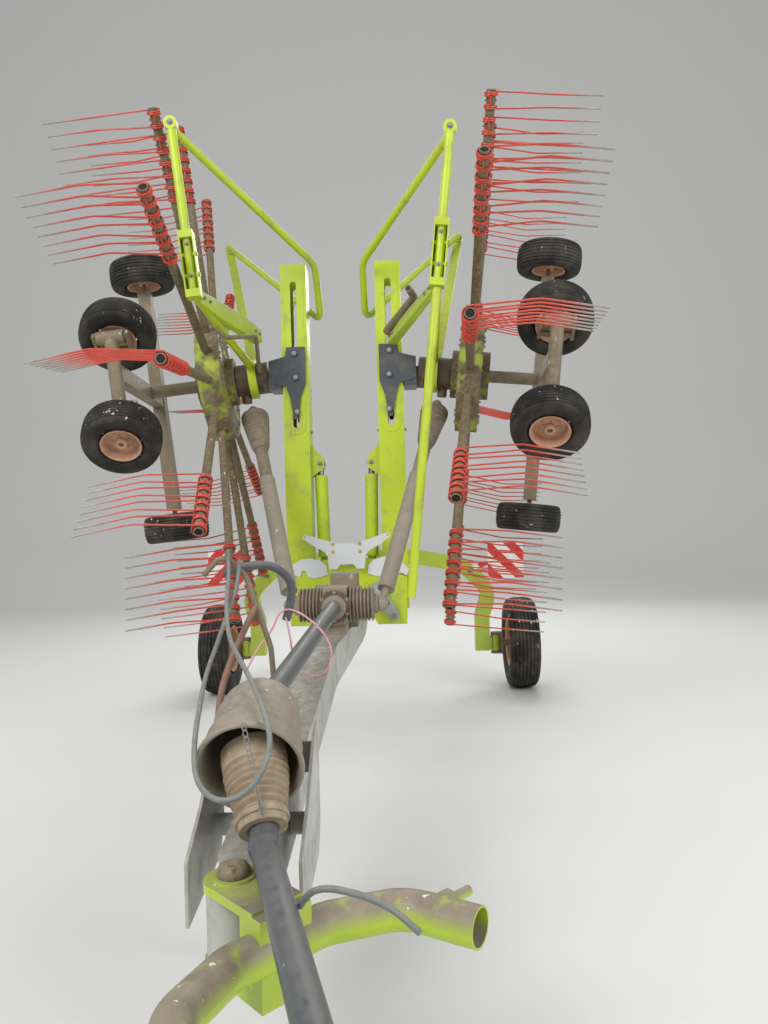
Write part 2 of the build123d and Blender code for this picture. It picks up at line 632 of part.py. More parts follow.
    # One double tine: two coils round the arm and two legs bent at the knee; +X along the arm
    with BuildPart() as double_tine:
        half_pair = tine_pitch / 2
        bridge_y = coil_radius - tine_radius - 1.5
        for reach in (-half_pair, half_pair):
            bar((reach - coil_width / 2, 0, 0), (reach + coil_width / 2, 0, 0), coil_radius)
        bar((-half_pair, bridge_y, 0), (half_pair, bridge_y, 0), tine_radius)
        bar((-tine_pitch, 0, 0), (tine_pitch, 0, 0), arm_radius + pin_gap, mode=Mode.SUBTRACT)
        for reach in (-half_pair, half_pair):
            root = Vector(reach, -coil_radius + tine_radius, 0)
            knee = Vector(reach, -tine_knee[1], tine_knee[0])
            tip = Vector(reach, -tine_tip[1], tine_tip[0])
            bar(root, knee, tine_radius)
            bar(knee, tip, tine_radius)
    with BuildPart() as tines:
        reaches = [rotor_radius - tine_first - (2 * pair + 0.5) * tine_pitch for pair in range(double_tines)]
        with Locations(*[place * Location((reach, 0, 0)) for place in arm_places for reach in reaches]):
            add(double_tine.part)
        for_side(side)
    save(tines, f"rotor_tines_{side}")

    # Rotor chassis: column through the hub, frame, front cross tube and rear beam
    with BuildPart() as chassis:
        bar(spot(0, 0, -125), spot(0, 0, frame_n), column_radius)
        beam(spot(0, cross_tube_f, frame_n), spot(0, rear_beam_f, frame_n), 90, 70, up_dir)
        bar(spot(-kingpin_u, cross_tube_f, frame_n), spot(kingpin_u, cross_tube_f, frame_n), sleeve_radius)
        beam(spot(-rear_beam_half, rear_beam_f, frame_n), spot(rear_beam_half, rear_beam_f, frame_n),
             rear_beam_width, rear_beam_height, forward_dir)
        bar(spot(-rotor_wheel_u - 60, rear_beam_f, frame_n), spot(rotor_wheel_u + 60, rear_beam_f, frame_n),
            stub_radius)
        for end in (-1, 1):
            bar(spot(end * kingpin_u, cross_tube_f, frame_n - sleeve_half),
                spot(end * kingpin_u, cross_tube_f, frame_n + sleeve_half), sleeve_radius)
            bar(spot(end * kingpin_u, cross_tube_f, frame_n - sleeve_half),
                spot(end * kingpin_u, cross_tube_f, frame_n + sleeve_half), kingpin_radius + pin_gap,
                mode=Mode.SUBTRACT)
        for_side(side)
    save(chassis, f"rotor_chassis_{side}")

    # Drive shaft to the rotor: guard tube on a ball at the gearbox, and the tube that slides in it
    low_joint = Vector(pivot_x, gearbox_y, pivot_z)
    top_joint = spot(-shaft_drop, 0, shaft_n)
    shaft_dir = (top_joint - low_joint).normalized()
    swing_dir = shaft_dir.cross(Vector(0, 0, 1)).normalized()
    swing_bore = 8
    with BuildPart() as shaft_lower:
        ball(low_joint, ball_radius)
        bar(low_joint, low_joint + shaft_dir * 130, shaft_neck)
        bar(low_joint + shaft_dir * 90, low_joint + shaft_dir * lower_length, lower_radius)
        bar(low_joint + shaft_dir * 200, low_joint + shaft_dir * (lower_length + 1), upper_radius + pin_gap,
            mode=Mode.SUBTRACT)
        bar(low_joint - swing_dir * ball_radius, low_joint + swing_dir * ball_radius, swing_bore,
            mode=Mode.SUBTRACT)
        for_side(side)
    save(shaft_lower, f"shaft_lower_{side}")
    with BuildPart() as shaft_upper:
        bar(low_joint + shaft_dir * 300, top_joint - shaft_dir * 40, upper_radius)
        bar(top_joint - shaft_dir * 50, top_joint, 22)
        bar(top_joint - shaft_dir * 330, top_joint - shaft_dir * 60, bellows_radius)
        ball(top_joint, 34)
        for_side(side)
    save(shaft_upper, f"shaft_upper_{side}")

    # Guard frame: front tube in its channel tray, rear flat bar, arms down to the gear head
    guard_n = guard_level[side]
    front_u, rear_u = guard_front_u[side], guard_rear_u[side]
    front_top = spot(front_u, guard_f, guard_n)
    rear_top = spot(rear_u, -guard_f, guard_n)
    hinge_dir = (front_top - rear_top).normalized()
    tray_low, tray_high = tray_span
    with BuildPart() as guard_frame:
        bar(spot(front_u - head_radius + 4, guard_f, guard_n), spot(leg_foot[side], guard_f, guard_n), leg_radius)
        beam(spot(tray_low, guard_f, guard_n), spot(tray_high, guard_f, guard_n), tray_width, tray_width, out_dir)
        beam(spot(tray_low + 40, guard_f + 14, guard_n), spot(tray_high - 40, guard_f + 14, guard_n),
             tray_width - 2 * tray_wall, tray_width - 2 * tray_wall + 28, out_dir, mode=Mode.SUBTRACT)
        bar(spot(tray_low, guard_f, guard_n), spot(tray_high, guard_f, guard_n), leg_radius)
        for level in (tray_low + 120, tray_high - 120):
            bar(spot(level, guard_f, guard_n - tray_width / 2 - 8),
                spot(level, guard_f, guard_n + tray_width / 2 + 8), 11)
        bar(spot(tray_low + 20, guard_f - 10, guard_n), spot(65, 95, -230), 24)
        beam(spot(rear_u - head_radius + 4, -guard_f, guard_n), spot(65, -95, -230), 60, 14, out_dir)
        bar(spot(0, 0, -205), spot(0, 0, -255), 125)
        bar(spot(0, 0, -204), spot(0, 0, -256), 100 + pin_gap, mode=Mode.SUBTRACT)
        for middle in (front_top, rear_top):
            bar(middle + hinge_dir * head_half, middle - hinge_dir * head_half, head_radius)
            bar(middle + hinge_dir * (head_half + 1), middle - hinge_dir * (head_half + 1),
                bow_radius + pin_gap, mode=Mode.SUBTRACT)
        for_side(side)
    save(guard_frame, f"guard_frame_{side}")

    # Guard bow, folded in over the boom
    with BuildPart() as bow:
        bent_tube((front_top + hinge_dir * head_half, front_top - hinge_dir * 70, bow_high, bow_low,
                   rear_top + hinge_dir * 70, rear_top - hinge_dir * head_half), bow_radius,
                  [60, bow_bend, bow_bend * 0.45, 60])
        for_side(side)
    save(bow, f"guard_bow_{side}")

    swing = radians(castor_swing)
    for place, end in (("upper", 1), ("lower", -1)):
        pin = spot(end * kingpin_u, cross_tube_f, frame_n)
        across = way(end * cos(swing), -end * sin(swing), 0)
        behind = way(-sin(swing), -cos(swing), 0)
        centre = pin + across * castor_side + behind * castor_trail
        with BuildPart() as castor:
            bar(pin - out_dir * (sleeve_half + 25), pin + out_dir * (sleeve_half + 25), kingpin_radius)
            for level in (-1, 1):
                root = pin + out_dir * level * (sleeve_half + 16)
                beam(root - behind * 25, root + behind * (castor_trail + 25), 40, 18, across)
            knee = pin + behind * castor_trail
            bar(knee - out_dir * (sleeve_half + 25), knee + out_dir * (sleeve_half + 25), 18)
            bar(knee, centre + across * 50, stub_radius)
            for_side(side)
        save(castor, f"castor_leg_{place}_{side}")
        with BuildPart() as small_wheel:
            wheel(centre, across, small_tyre_radius, small_tyre_width, small_rim_radius, stub_radius + pin_gap)
            for_side(side)
        save(small_wheel, f"front_wheel_{place}_{side}")
        with BuildPart() as rear_wheel:
            wheel(spot(end * rotor_wheel_u, rear_beam_f, frame_n), up_dir, small_tyre_radius, small_tyre_width,
                  small_rim_radius, stub_radius + pin_gap)
            for_side(side)
        save(rear_wheel, f"rear_wheel_{place}_{side}")

# Hoses and twine: straight runs joined by arcs
hoses = {
    "hook_hose": (8, [(-316, -1919.3, 1440), (-312, -1919.3, 1350), (-299, -2046, 1230), (-248, -2226, 1140),
                      (-180, -2400, 1110), (-100, -2576, 1065), (-32, -2720, 1005), (16, -2846, 930),
                      (-25, -2910, 842), (-110, -2925, 805), (-198, -2850, 835), (-240, -2712, 905),
                      (-270, -2540, 965), (-298, -2360, 1030), (-303, -2186, 1103), (-296, -2026, 1207),
                      (-277, -1919.3, 1310), (-271, -1919.3, 1400)]),
    "hitch_hose": (8, [(125.5, -3146, 650), (146, -3166, 690), (189, -3186, 712), (247, -3196, 706),
                       (311, -3196, 685), (362, -3196, 651), (401, -3196, 613)]),
    "hose_bundle": (18, [(-345, -1870.4, 1345), (-220, -1870.4, 1385), (-120, -1800, 1350), (-90, -1701.7, 1250),
                         (-130, -1701.7, 1130)]),
    "valve_hose": (13, [(-212, -1922.5, 1213), (-252, -1976, 1123), (-298, -2026, 1006), (-326, -2076, 894),
                        (-324, -2126, 770)]),
    "twine_bow": (4, [(-296, -1724, 929), (-251, -1724, 1020), (-186, -1724, 1089), (-155, -1724, 1168),
                      (-100, -1724, 1183), (-9, -1724, 1123), (51, -1724, 1046), (66, -1724, 967),
                      (18, -1724, 893), (-60, -1724, 905), (-105, -1724, 990), (-112, -1724, 1080),
                      (-128, -1724, 1145)]),
}
for name, (hose_radius, ahead) in hoses.items():
    points = [Vector(x, rotor_y + y, z) for x, y, z in ahead]
    runs = [b - a for a, b in zip(points, points[1:])]
    bends = [0.45 * min(a.length, b.length) / tan(radians(a.get_angle(b)) / 2) for a, b in zip(runs, runs[1:])]
    with BuildPart() as hose:
        bent_tube(points, hose_radius, bends)
    print(name, [round(bend) for bend in bends])
    save(hose, name)
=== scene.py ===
import json
import math

import bpy
import numpy as np
from mathutils import Matrix, Vector

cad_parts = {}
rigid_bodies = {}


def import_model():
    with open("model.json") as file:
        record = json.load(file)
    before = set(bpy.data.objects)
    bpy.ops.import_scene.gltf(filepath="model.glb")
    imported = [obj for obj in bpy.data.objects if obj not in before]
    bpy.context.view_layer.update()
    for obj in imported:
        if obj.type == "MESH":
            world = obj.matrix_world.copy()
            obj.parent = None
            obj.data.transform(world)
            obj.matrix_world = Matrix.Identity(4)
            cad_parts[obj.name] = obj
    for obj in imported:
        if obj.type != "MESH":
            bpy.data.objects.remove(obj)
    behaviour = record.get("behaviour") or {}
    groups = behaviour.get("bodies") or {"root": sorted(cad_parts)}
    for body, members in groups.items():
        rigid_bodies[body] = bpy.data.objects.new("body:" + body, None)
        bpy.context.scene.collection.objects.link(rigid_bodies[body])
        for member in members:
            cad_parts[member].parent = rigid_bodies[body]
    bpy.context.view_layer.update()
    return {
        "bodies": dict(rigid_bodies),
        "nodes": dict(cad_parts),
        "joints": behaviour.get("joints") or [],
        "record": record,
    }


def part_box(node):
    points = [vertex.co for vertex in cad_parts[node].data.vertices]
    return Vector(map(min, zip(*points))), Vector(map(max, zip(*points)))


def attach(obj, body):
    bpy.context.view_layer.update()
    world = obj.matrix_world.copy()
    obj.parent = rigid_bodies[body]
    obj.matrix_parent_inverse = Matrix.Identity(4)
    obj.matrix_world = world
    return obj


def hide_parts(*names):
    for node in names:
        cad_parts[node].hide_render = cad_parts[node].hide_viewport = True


# Twin rotor hay rake folded upright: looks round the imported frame. Metres, +Z up, -Y towards the tractor.
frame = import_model()
nodes = frame["nodes"]
print("frame loaded:", len(nodes), "nodes")

# Middle of the right-hand hub in metres; the folded rotors lean out at the top and toe in, in degrees
rotor = {"x": 0.811, "y": 0.630, "z": 2.450, "lean": 6.4, "toe": 4.3}
rotorY = rotor["y"] * 1000

# The camera stands in front of the drawbar at eye height, a little to the right; angles in radians
camera = {"place": (0.4083, rotor["y"] - 4.926, 1.5337), "yaw": -0.0352, "pitch": -0.012, "roll": -0.0287,
          "lens": 27.07}
yaw, pitch, roll = camera["yaw"], camera["pitch"], camera["roll"]
ahead = Vector((math.sin(yaw) * math.cos(pitch), math.cos(yaw) * math.cos(pitch), -math.sin(pitch)))
sideways = Vector((math.cos(yaw), -math.sin(yaw), 0))
upward = sideways.cross(ahead)
camRight = sideways * math.cos(roll) + upward * math.sin(roll)
camUp = upward * math.cos(roll) - sideways * math.sin(roll)
camData = bpy.data.cameras.new("photoCamera")
camData.lens = camera["lens"]
camData.sensor_width = 36
camData.clip_end = 60
camObject = bpy.data.objects.new("photoCamera", camData)
bpy.context.scene.collection.objects.link(camObject)
turned = Matrix((camRight, camUp, -ahead)).transposed().to_4x4()
camObject.matrix_world = Matrix.Translation(camera["place"]) @ turned
bpy.context.scene.camera = camObject
print("camera placed")

# Free hoses and twine: centreline points in millimetres, y measured from the rotors' y; thick in millimetres,
# long in metres
cords = {
    "hookHose": {"node": "hook_hose", "thick": 16, "long": 2.623, "feel": "medium", "lay": "hanging",
                 "skin": "greyHose",
                 "line": [(-316, -1919.3, 1440), (-312, -1919.3, 1350), (-299, -2046, 1230),
                          (-248, -2226, 1140), (-180, -2400, 1110), (-100, -2576, 1065),
                          (-32, -2720, 1005), (16, -2846, 930), (-25, -2910, 842), (-110, -2925, 805),
                          (-198, -2850, 835), (-240, -2712, 905), (-270, -2540, 965), (-298, -2360, 1030),
                          (-303, -2186, 1103), (-296, -2026, 1207), (-277, -1919.3, 1310),
                          (-271, -1919.3, 1400)]},
    "hitchHose": {"node": "hitch_hose", "thick": 16, "long": 0.339, "feel": "medium", "lay": "loose",
                  "skin": "greyHose",
                  "line": [(125.5, -3146, 650), (146, -3166, 690), (189, -3186, 712), (247, -3196, 706),
                           (311, -3196, 685), (362, -3196, 651), (401, -3196, 613)]},
    "hoseBundle": {"node": "hose_bundle", "thick": 36, "long": 0.499, "feel": "stiff", "lay": "loose",
                   "skin": "darkBundle",
                   "line": [(-345, -1870.4, 1345), (-220, -1870.4, 1385), (-120, -1800, 1350),
                            (-90, -1701.7, 1250), (-130, -1701.7, 1130)]},
    "valveHose": {"node": "valve_hose", "thick": 26, "long": 0.505, "feel": "stiff", "lay": "hanging",
                  "skin": "brownHose",
                  "line": [(-212, -1922.5, 1213), (-252, -1976, 1123), (-298, -2026, 1006),
                           (-326, -2076, 894), (-324, -2126, 770)]},
    "twineBow": {"node": "twine_bow", "thick": 8, "long": 1.011, "feel": "limp", "lay": "hanging",
                 "skin": "pinkTwine",
                 "line": [(-296, -1724, 929), (-251, -1724, 1020), (-186, -1724, 1089), (-155, -1724, 1168),
                          (-100, -1724, 1183), (-9, -1724, 1123), (51, -1724, 1046), (66, -1724, 967),
                          (18, -1724, 893), (-60, -1724, 905), (-105, -1724, 990), (-112, -1724, 1080),
                          (-128, -1724, 1145)]},
}


# Unit vectors of a rotor's frame: up the folded rotor, forward, and outward along its axis as their cross
# product; side is 1 for the right and -1 for the left, whose frame is the mirror image
def sideDirs(side):
    lean, toe = math.radians(rotor["lean"]), math.radians(rotor["toe"])
    up = np.array([math.sin(lean), 0, math.cos(lean)])
    flat = np.array([-math.sin(toe), -math.cos(toe), 0])
    forward = flat - up * (flat @ up)
    forward /= np.linalg.norm(forward)
    out = np.cross(up, forward)
    flip = np.array([side, 1, 1])
    return up * flip, forward * flip, out * flip


# Point of a rotor's frame, in millimetres, as metres in the machine's frame
def spot(u, f, n, side=1):
    up, forward, out = sideDirs(side)
    return np.array([rotor["x"] * side, rotor["y"], rotor["z"]]) + (up * u + forward * f + out * n) / 1000


# Materials, each from what the real surface is and how it was made. A pattern's size is in millimetres
dirt = {"droppings": "#D6D4C8", "paleDroppings": "#DAD9CE", "fewest": 0.735}


# sRGB hex to linear RGBA
def linear(hexColour):
    parts = [int(hexColour[i:i + 2], 16) / 255 for i in (1, 3, 5)]
    return tuple(c / 12.92 if c <= 0.04045 else ((c + 0.055) / 1.055) ** 2.4 for c in parts) + (1,)


# Adds a shader node; links maps its input sockets to other nodes' outputs
def addNode(tree, kind, settings=None, links=None):
    node = tree.nodes.new(kind)
    for name, value in (settings or {}).items():
        if name in node.inputs:
            node.inputs[name].default_value = value
        elif name.isdigit():
            node.inputs[int(name)].default_value = value
        else:
            setattr(node, name, value)
    for name, source in (links or {}).items():
        target = node.inputs[int(name)] if name.isdigit() else node.inputs[name]
        tree.links.new(source, target)
    return node


# Material with a Principled shader; constants go on the shader's own sockets
def newMaterial(name, **sockets):
    material = bpy.data.materials.new(name)
    material.use_nodes = True
    tree = material.node_tree
    shader = tree.nodes["Principled BSDF"]
    for socket, value in sockets.items():
        shader.inputs[socket.replace("_", " ")].default_value = value
    where = tree.nodes.new("ShaderNodeTexCoord").outputs["Object"]
    return material, tree, shader, where


# Mixes two colours; first and second are sockets or hex strings
def mixColour(tree, factor, first, second):
    node = addNode(tree, "ShaderNodeMix", {"data_type": "RGBA"})
    tree.links.new(factor, node.inputs[0])
    for index, value in ((6, first), (7, second)):
        if isinstance(value, str):
            node.inputs[index].default_value = linear(value)
        else:
            tree.links.new(value, node.inputs[index])
    return node.outputs[2]


# Soft-edged patches: noise of a cell size in mm, cut between two levels
def patches(tree, where, scale, low, high, detail=4.0):
    noise = addNode(tree, "ShaderNodeTexNoise", {"Scale": 1000 / scale, "Detail": detail, "Roughness": 0.6},
                    {"Vector": where})
    return addNode(tree, "ShaderNodeMapRange", {"From Min": low, "From Max": high},
                   {"Value": noise.outputs["Fac"]}).outputs["Result"]


# Share of dust that lies on faces that look up
def upFacing(tree, low, high):
    normal = addNode(tree, "ShaderNodeNewGeometry").outputs["Normal"]
    split = addNode(tree, "ShaderNodeSeparateXYZ", None, {"Vector": normal})
    return addNode(tree, "ShaderNodeMapRange", {"From Min": low, "From Max": high},
                   {"Value": split.outputs["Z"]}).outputs["Result"]


# Pale bird droppings, about 15 mm across and run down to twice that, on faces that look up
def streaks(tree, where, level):
    long = addNode(tree, "ShaderNodeMapping", {"Scale": (1, 1, 0.45)}, {"Vector": where}).outputs["Vector"]
    spots = patches(tree, long, 30, level, level + 0.02, 3.0)
    return both(tree, spots, upFacing(tree, -0.25, 0.35))


# Two shares multiplied, or joined by another operation
def both(tree, first, second, operation="MULTIPLY"):
    return addNode(tree, "ShaderNodeMath", {"operation": operation, "use_clamp": True},
                   {"0": first, "1": second}).outputs[0]


# A share times a fixed factor
def fraction(tree, share, factor):
    return addNode(tree, "ShaderNodeMath", {"operation": "MULTIPLY", "1": factor}, {"0": share}).outputs[0]


# A roughness that runs from one value to another with a share
def roughBetween(tree, share, low, high):
    node = addNode(tree, "ShaderNodeMapRange", {"To Min": low, "To Max": high}, {"Value": share})
    return node.outputs["Result"]


# Links colour, roughness and a bump height to the shader
def finish(tree, shader, colour, roughness, height=None, strength=0.2, distance=0.001):
    tree.links.new(colour, shader.inputs["Base Color"])
    tree.links.new(roughness, shader.inputs["Roughness"])
    if height is not None:
        bump = addNode(tree, "ShaderNodeBump", {"Strength": strength, "Distance": distance},
                       {"Height": height})
        tree.links.new(bump.outputs["Normal"], shader.inputs["Normal"])


# A finish that has stood in a dusty shed: dust on top faces, smears, pale droppings and, if asked, rust chips.
# paint holds two shades; dustShare and specks say how much dust and how many droppings lie on it
def paintedSteel(name, paint, dust, dustShare, specks, roughness=0.42, rust=None):
    material, tree, shader, where = newMaterial(name, Specular_IOR_Level=0.5, Coat_Weight=0.15,
                                                Coat_Roughness=0.25)
    shade = patches(tree, where, 900, 0.35, 0.7, 2.0)
    colour = mixColour(tree, shade, paint[0], paint[1])
    onTop = upFacing(tree, 0.15, 0.95)
    smears = patches(tree, where, 130, 0.62 - dustShare, 0.78 - dustShare * 0.5, 6.0)
    dusty = both(tree, onTop, smears, "MAXIMUM")
    broken = both(tree, dusty, patches(tree, where, 35, 0.25, 0.6, 5.0))
    share = fraction(tree, broken, 0.55 + dustShare)
    colour = mixColour(tree, share, colour, dust)
    if rust:
        colour = mixColour(tree, patches(tree, where, 60, 0.66, 0.72, 8.0), colour, rust)
    drops = streaks(tree, where, dirt["fewest"] - specks)
    colour = mixColour(tree, drops, colour, dirt["droppings"])
    finish(tree, shader, colour, roughBetween(tree, share, roughness, 0.85), both(tree, drops, share, "ADD"),
           0.25, 0.0006)
    return material


# Gloss paint under a smooth blanket of fine dust, full where a face's normal z is high, none where it is low
def blanketed(name, paint, dust, low, high, specks):
    material, tree, shader, where = newMaterial(name, Specular_IOR_Level=0.5, Coat_Weight=0.2,
                                                Coat_Roughness=0.2)
    colour = mixColour(tree, patches(tree, where, 700, 0.35, 0.7, 2.0), paint[0], paint[1])
    cover = both(tree, upFacing(tree, low, high), patches(tree, where, 420, 0.15, 0.45, 2.0))
    cover = both(tree, cover, patches(tree, where, 60, 0.05, 0.45, 4.0))
    powder = mixColour(tree, patches(tree, where, 90, 0.4, 0.7), dust[0], dust[1])
    colour = mixColour(tree, cover, colour, powder)
    drops = streaks(tree, where, dirt["fewest"] - specks)
    colour = mixColour(tree, drops, colour, dirt["paleDroppings"])
    finish(tree, shader, colour, roughBetween(tree, cover, 0.32, 0.92), both(tree, drops, cover, "ADD"), 0.3,
           0.0008)
    return material


# Lime paint on the hub caked with mud, and bare dust-brown tube further out along the arms
def hubPaint(side):
    name = "hubPaintRight" if side > 0 else "hubPaintLeft"
    material, tree, shader, where = newMaterial(name, Specular_IOR_Level=0.4)
    hub = Vector((rotor["x"] * side, rotor["y"], rotor["z"]))
    away = addNode(tree, "ShaderNodeVectorMath", {"operation": "DISTANCE", "1": hub}, {"0": where})
    near = addNode(tree, "ShaderNodeMapRange", {"From Min": 0.42, "From Max": 0.36},
                   {"Value": away.outputs["Value"]}).outputs["Result"]
    mud = mixColour(tree, patches(tree, where, 80, 0.35, 0.7, 5.0), "#786951", "#5F523E")
    crumbs = patches(tree, where, 18, 0.45, 0.75, 4.0)
    mud = mixColour(tree, crumbs, mud, "#8F8169")
    lime = mixColour(tree, patches(tree, where, 200, 0.4, 0.7), "#A6B637", "#818F38")
    shows = both(tree, near, patches(tree, where, 150, 0.49, 0.61, 6.0))
    drops = streaks(tree, where, 0.68)
    colour = mixColour(tree, drops, mixColour(tree, shows, mud, lime), dirt["droppings"])
    finish(tree, shader, colour, roughBetween(tree, shows, 0.85, 0.45), both(tree, crumbs, drops, "ADD"), 0.35,
           0.0012)
    return material


# Moulded rubber, black gone grey with dust, white droppings on the upper tyres
def tyreRubber():
    material, tree, shader, where = newMaterial("tyreRubber", Specular_IOR_Level=0.3)
    dusty = patches(tree, where, 140, 0.42, 0.75, 5.0)
    colour = mixColour(tree, dusty, "#242322", "#565047")
    drops = streaks(tree, where, 0.665)
    colour = mixColour(tree, drops, colour, "#CFCBC0")
    grain = patches(tree, where, 4, 0.3, 0.7, 2.0)
    finish(tree, shader, colour, roughBetween(tree, dusty, 0.72, 0.95), grain, 0.12, 0.0004)
    return material


# Spring steel wire powder-coated red round the coils and half the leg; the tips are worn bare
def tineSteel(side):
    material, tree, shader, where = newMaterial("tineSteelRight" if side > 0 else "tineSteelLeft",
                                                Specular_IOR_Level=0.5)
    out = sideDirs(side)[2]
    hub = Vector((rotor["x"] * side, rotor["y"], rotor["z"]))
    shifted = addNode(tree, "ShaderNodeVectorMath", {"operation": "SUBTRACT", "1": hub}, {"0": where})
    along = addNode(tree, "ShaderNodeVectorMath", {"operation": "DOT_PRODUCT", "1": Vector(out)},
                    {"0": shifted.outputs[0]})
    bare = addNode(tree, "ShaderNodeMapRange", {"From Min": 0.38, "From Max": 0.54},
                   {"Value": along.outputs["Value"]}).outputs["Result"]
    shade = patches(tree, where, 60, 0.35, 0.7, 4.0)
    red = mixColour(tree, shade, "#D23A28", "#B8402F")
    steel = mixColour(tree, shade, "#8A8580", "#A9A49E")
    dusty = fraction(tree, patches(tree, where, 25, 0.45, 0.7, 5.0), 0.45)
    colour = mixColour(tree, dusty, mixColour(tree, bare, red, steel), "#86786A")
    finish(tree, shader, colour, roughBetween(tree, dusty, 0.35, 0.75))
    return material


# Warning boards: a red and a white stripe take each 0.2 m of slope; the sheet lies behind the rotors' y
board = {"pair": 0.2, "behind": 1.640, "halfSheet": 0.0025}


# Sheet steel with reflective stripes: height plus distance from the middle, so they slope at 45 degrees; the
# arms behind the sheet are plain dark steel
def stripedBoard():
    material, tree, shader, where = newMaterial("stripedBoard", Specular_IOR_Level=0.5)
    split = addNode(tree, "ShaderNodeSeparateXYZ", None, {"Vector": where})
    inward = addNode(tree, "ShaderNodeMath", {"operation": "ABSOLUTE"}, {"0": split.outputs["X"]}).outputs[0]
    slope = addNode(tree, "ShaderNodeMath", {"operation": "ADD"}, {"0": split.outputs["Z"], "1": inward})
    scaled = fraction(tree, slope.outputs[0], 1 / board["pair"])
    within = addNode(tree, "ShaderNodeMath", {"operation": "FRACT"}, {"0": scaled})
    stripe = addNode(tree, "ShaderNodeMath", {"operation": "GREATER_THAN", "1": 0.5}, {"0": within.outputs[0]})
    colour = mixColour(tree, stripe.outputs[0], "#E8E6E2", "#C9281E")
    onBoard = addNode(tree, "ShaderNodeMath",
                      {"operation": "COMPARE", "1": rotor["y"] + board["behind"], "2": board["halfSheet"]},
                      {"0": split.outputs["Y"]}).outputs[0]
    colour = mixColour(tree, onBoard, "#4A4A48", colour)
    dusty = patches(tree, where, 60, 0.5, 0.8, 5.0)
    colour = mixColour(tree, fraction(tree, dusty, 0.35), colour, "#94887A")
    finish(tree, shader, colour, roughBetween(tree, dusty, 0.35, 0.7))
    return material


# Enamel sprayed on welded steel: even lime with a soft shine under brown shed dust
limeEnamel = paintedSteel("limeEnamel", ("#BED22C", "#AFC42C"), "#8A8064", 0.10, 0.02)
# The same enamel where nobody wiped it: a matt brown-grey blanket on top, clean lime below
limeEnamelDusty = blanketed("limeEnamelDusty", ("#BBD42C", "#A9C02C"), ("#918674", "#7D7260"), -0.15, 0.6,
                            0.05)
# Dark slate enamel on plate: nearly black-blue, and dust shows on it as a faint brown bloom
slateEnamel = paintedSteel("slateEnamel", ("#4A4E55", "#3C4046"), "#70675A", 0.14, 0.0)
# Pale grey enamel on the drawbar's plates: flat and chalky
paleEnamel = paintedSteel("paleEnamel", ("#B9BBB4", "#A5A79F"), "#8C8272", 0.2, 0.01)
# Grey paint that has gone the brown of the dust all over, with white droppings and rust chips
dustySteel = paintedSteel("dustySteel", ("#776A56", "#64573F"), "#8E8069", 0.34, 0.06, 0.7, "#6B452C")
# Bare cast and turned steel gone brown: matt, dark, orange where it flakes
rustySteel = paintedSteel("rustySteel", ("#5A4638", "#4B3B30"), "#776857", 0.26, 0.01, 0.75, "#7A4424")
# Rim enamel faded to salmon under dust
rustyRim = paintedSteel("rustyRim", ("#D3A184", "#BE8769"), "#8D7A64", 0.26, 0.02, 0.6, "#8A5A3C")
# Moulded polyethylene guards: soft grey-brown, dull shine
greyPlastic = paintedSteel("greyPlastic", ("#8C8375", "#7B7265"), "#A09585", 0.3, 0.04, 0.6)
# Moulded rubber bellows: matt, and the dust makes them the colour of earth
dustyRubber = paintedSteel("dustyRubber", ("#7B6E5E", "#6A5E51"), "#9A8B77", 0.3, 0.03, 0.75)
# The bellows in the bell have faded to sand
sandyRubber = paintedSteel("sandyRubber", ("#A08A6E", "#8D7A63"), "#B5A68F", 0.3, 0.03, 0.75)
# Zinc-plated bolts: small grey glints
zincSteel = paintedSteel("zincSteel", ("#8F8F8A", "#77756F"), "#857A6B", 0.18, 0.0, 0.4)
# Passivated zinc: a yellow tint on the saddle's bolts
yellowZinc = paintedSteel("yellowZinc", ("#C9B25A", "#B59B45"), "#8F8470", 0.1, 0.0, 0.35)
# Painted shade: near-black discs set just inside open tube ends stand in for the shadow inside the bore, which
# reads as a black hole
boreShadeBlack = paintedSteel("boreShadeBlack", ("#14120F", "#1C1915"), "#2A2520", 0.1, 0.0, 0.9)
# Extruded black plastic tube over the drive shaft, greyed by age: blue-grey with a long soft highlight
blackPlastic = paintedSteel("blackPlastic", ("#555A61", "#4B4F56"), "#77746D", 0.0, 0.0, 0.34)
# Hot-dip zinc: pale, slightly mottled
galvanised = paintedSteel("galvanised", ("#A4A8A8", "#8E9292"), "#8B8477", 0.06, 0.0, 0.4)
# White enamel on the saddle and quadrant plates: the lightest thing on the machine
whitePlate = paintedSteel("whitePlate", ("#D5D8D8", "#C4C8C9"), "#9A948A", 0.02, 0.02, 0.4)
# Cast iron housing under grey paint: matt, dusty, rusting at the edges
castGrey = paintedSteel("castGrey", ("#857867", "#726655"), "#9B8E7B", 0.34, 0.05, 0.75, "#6E4D34")
# Hard-chromed rod: a mirror with dull worn patches
chromedRod, tree, shader, where = newMaterial("chromedRod", Metallic=1.0)
wear = patches(tree, where, 20, 0.4, 0.8, 4.0)
finish(tree, shader, mixColour(tree, wear, "#B9BBBD", "#8D8A85"), roughBetween(tree, wear, 0.15, 0.4))
tyreBlack = tyreRubber()
boardStripes = stripedBoard()
tineRed = {1: tineSteel(1), -1: tineSteel(-1)}
muddyHub = {1: hubPaint(1), -1: hubPaint(-1)}
print("materials made")


# Gives a CAD node one material
def dress(name, material):
    mesh = nodes[name].data
    mesh.materials.clear()
    mesh.materials.append(material)


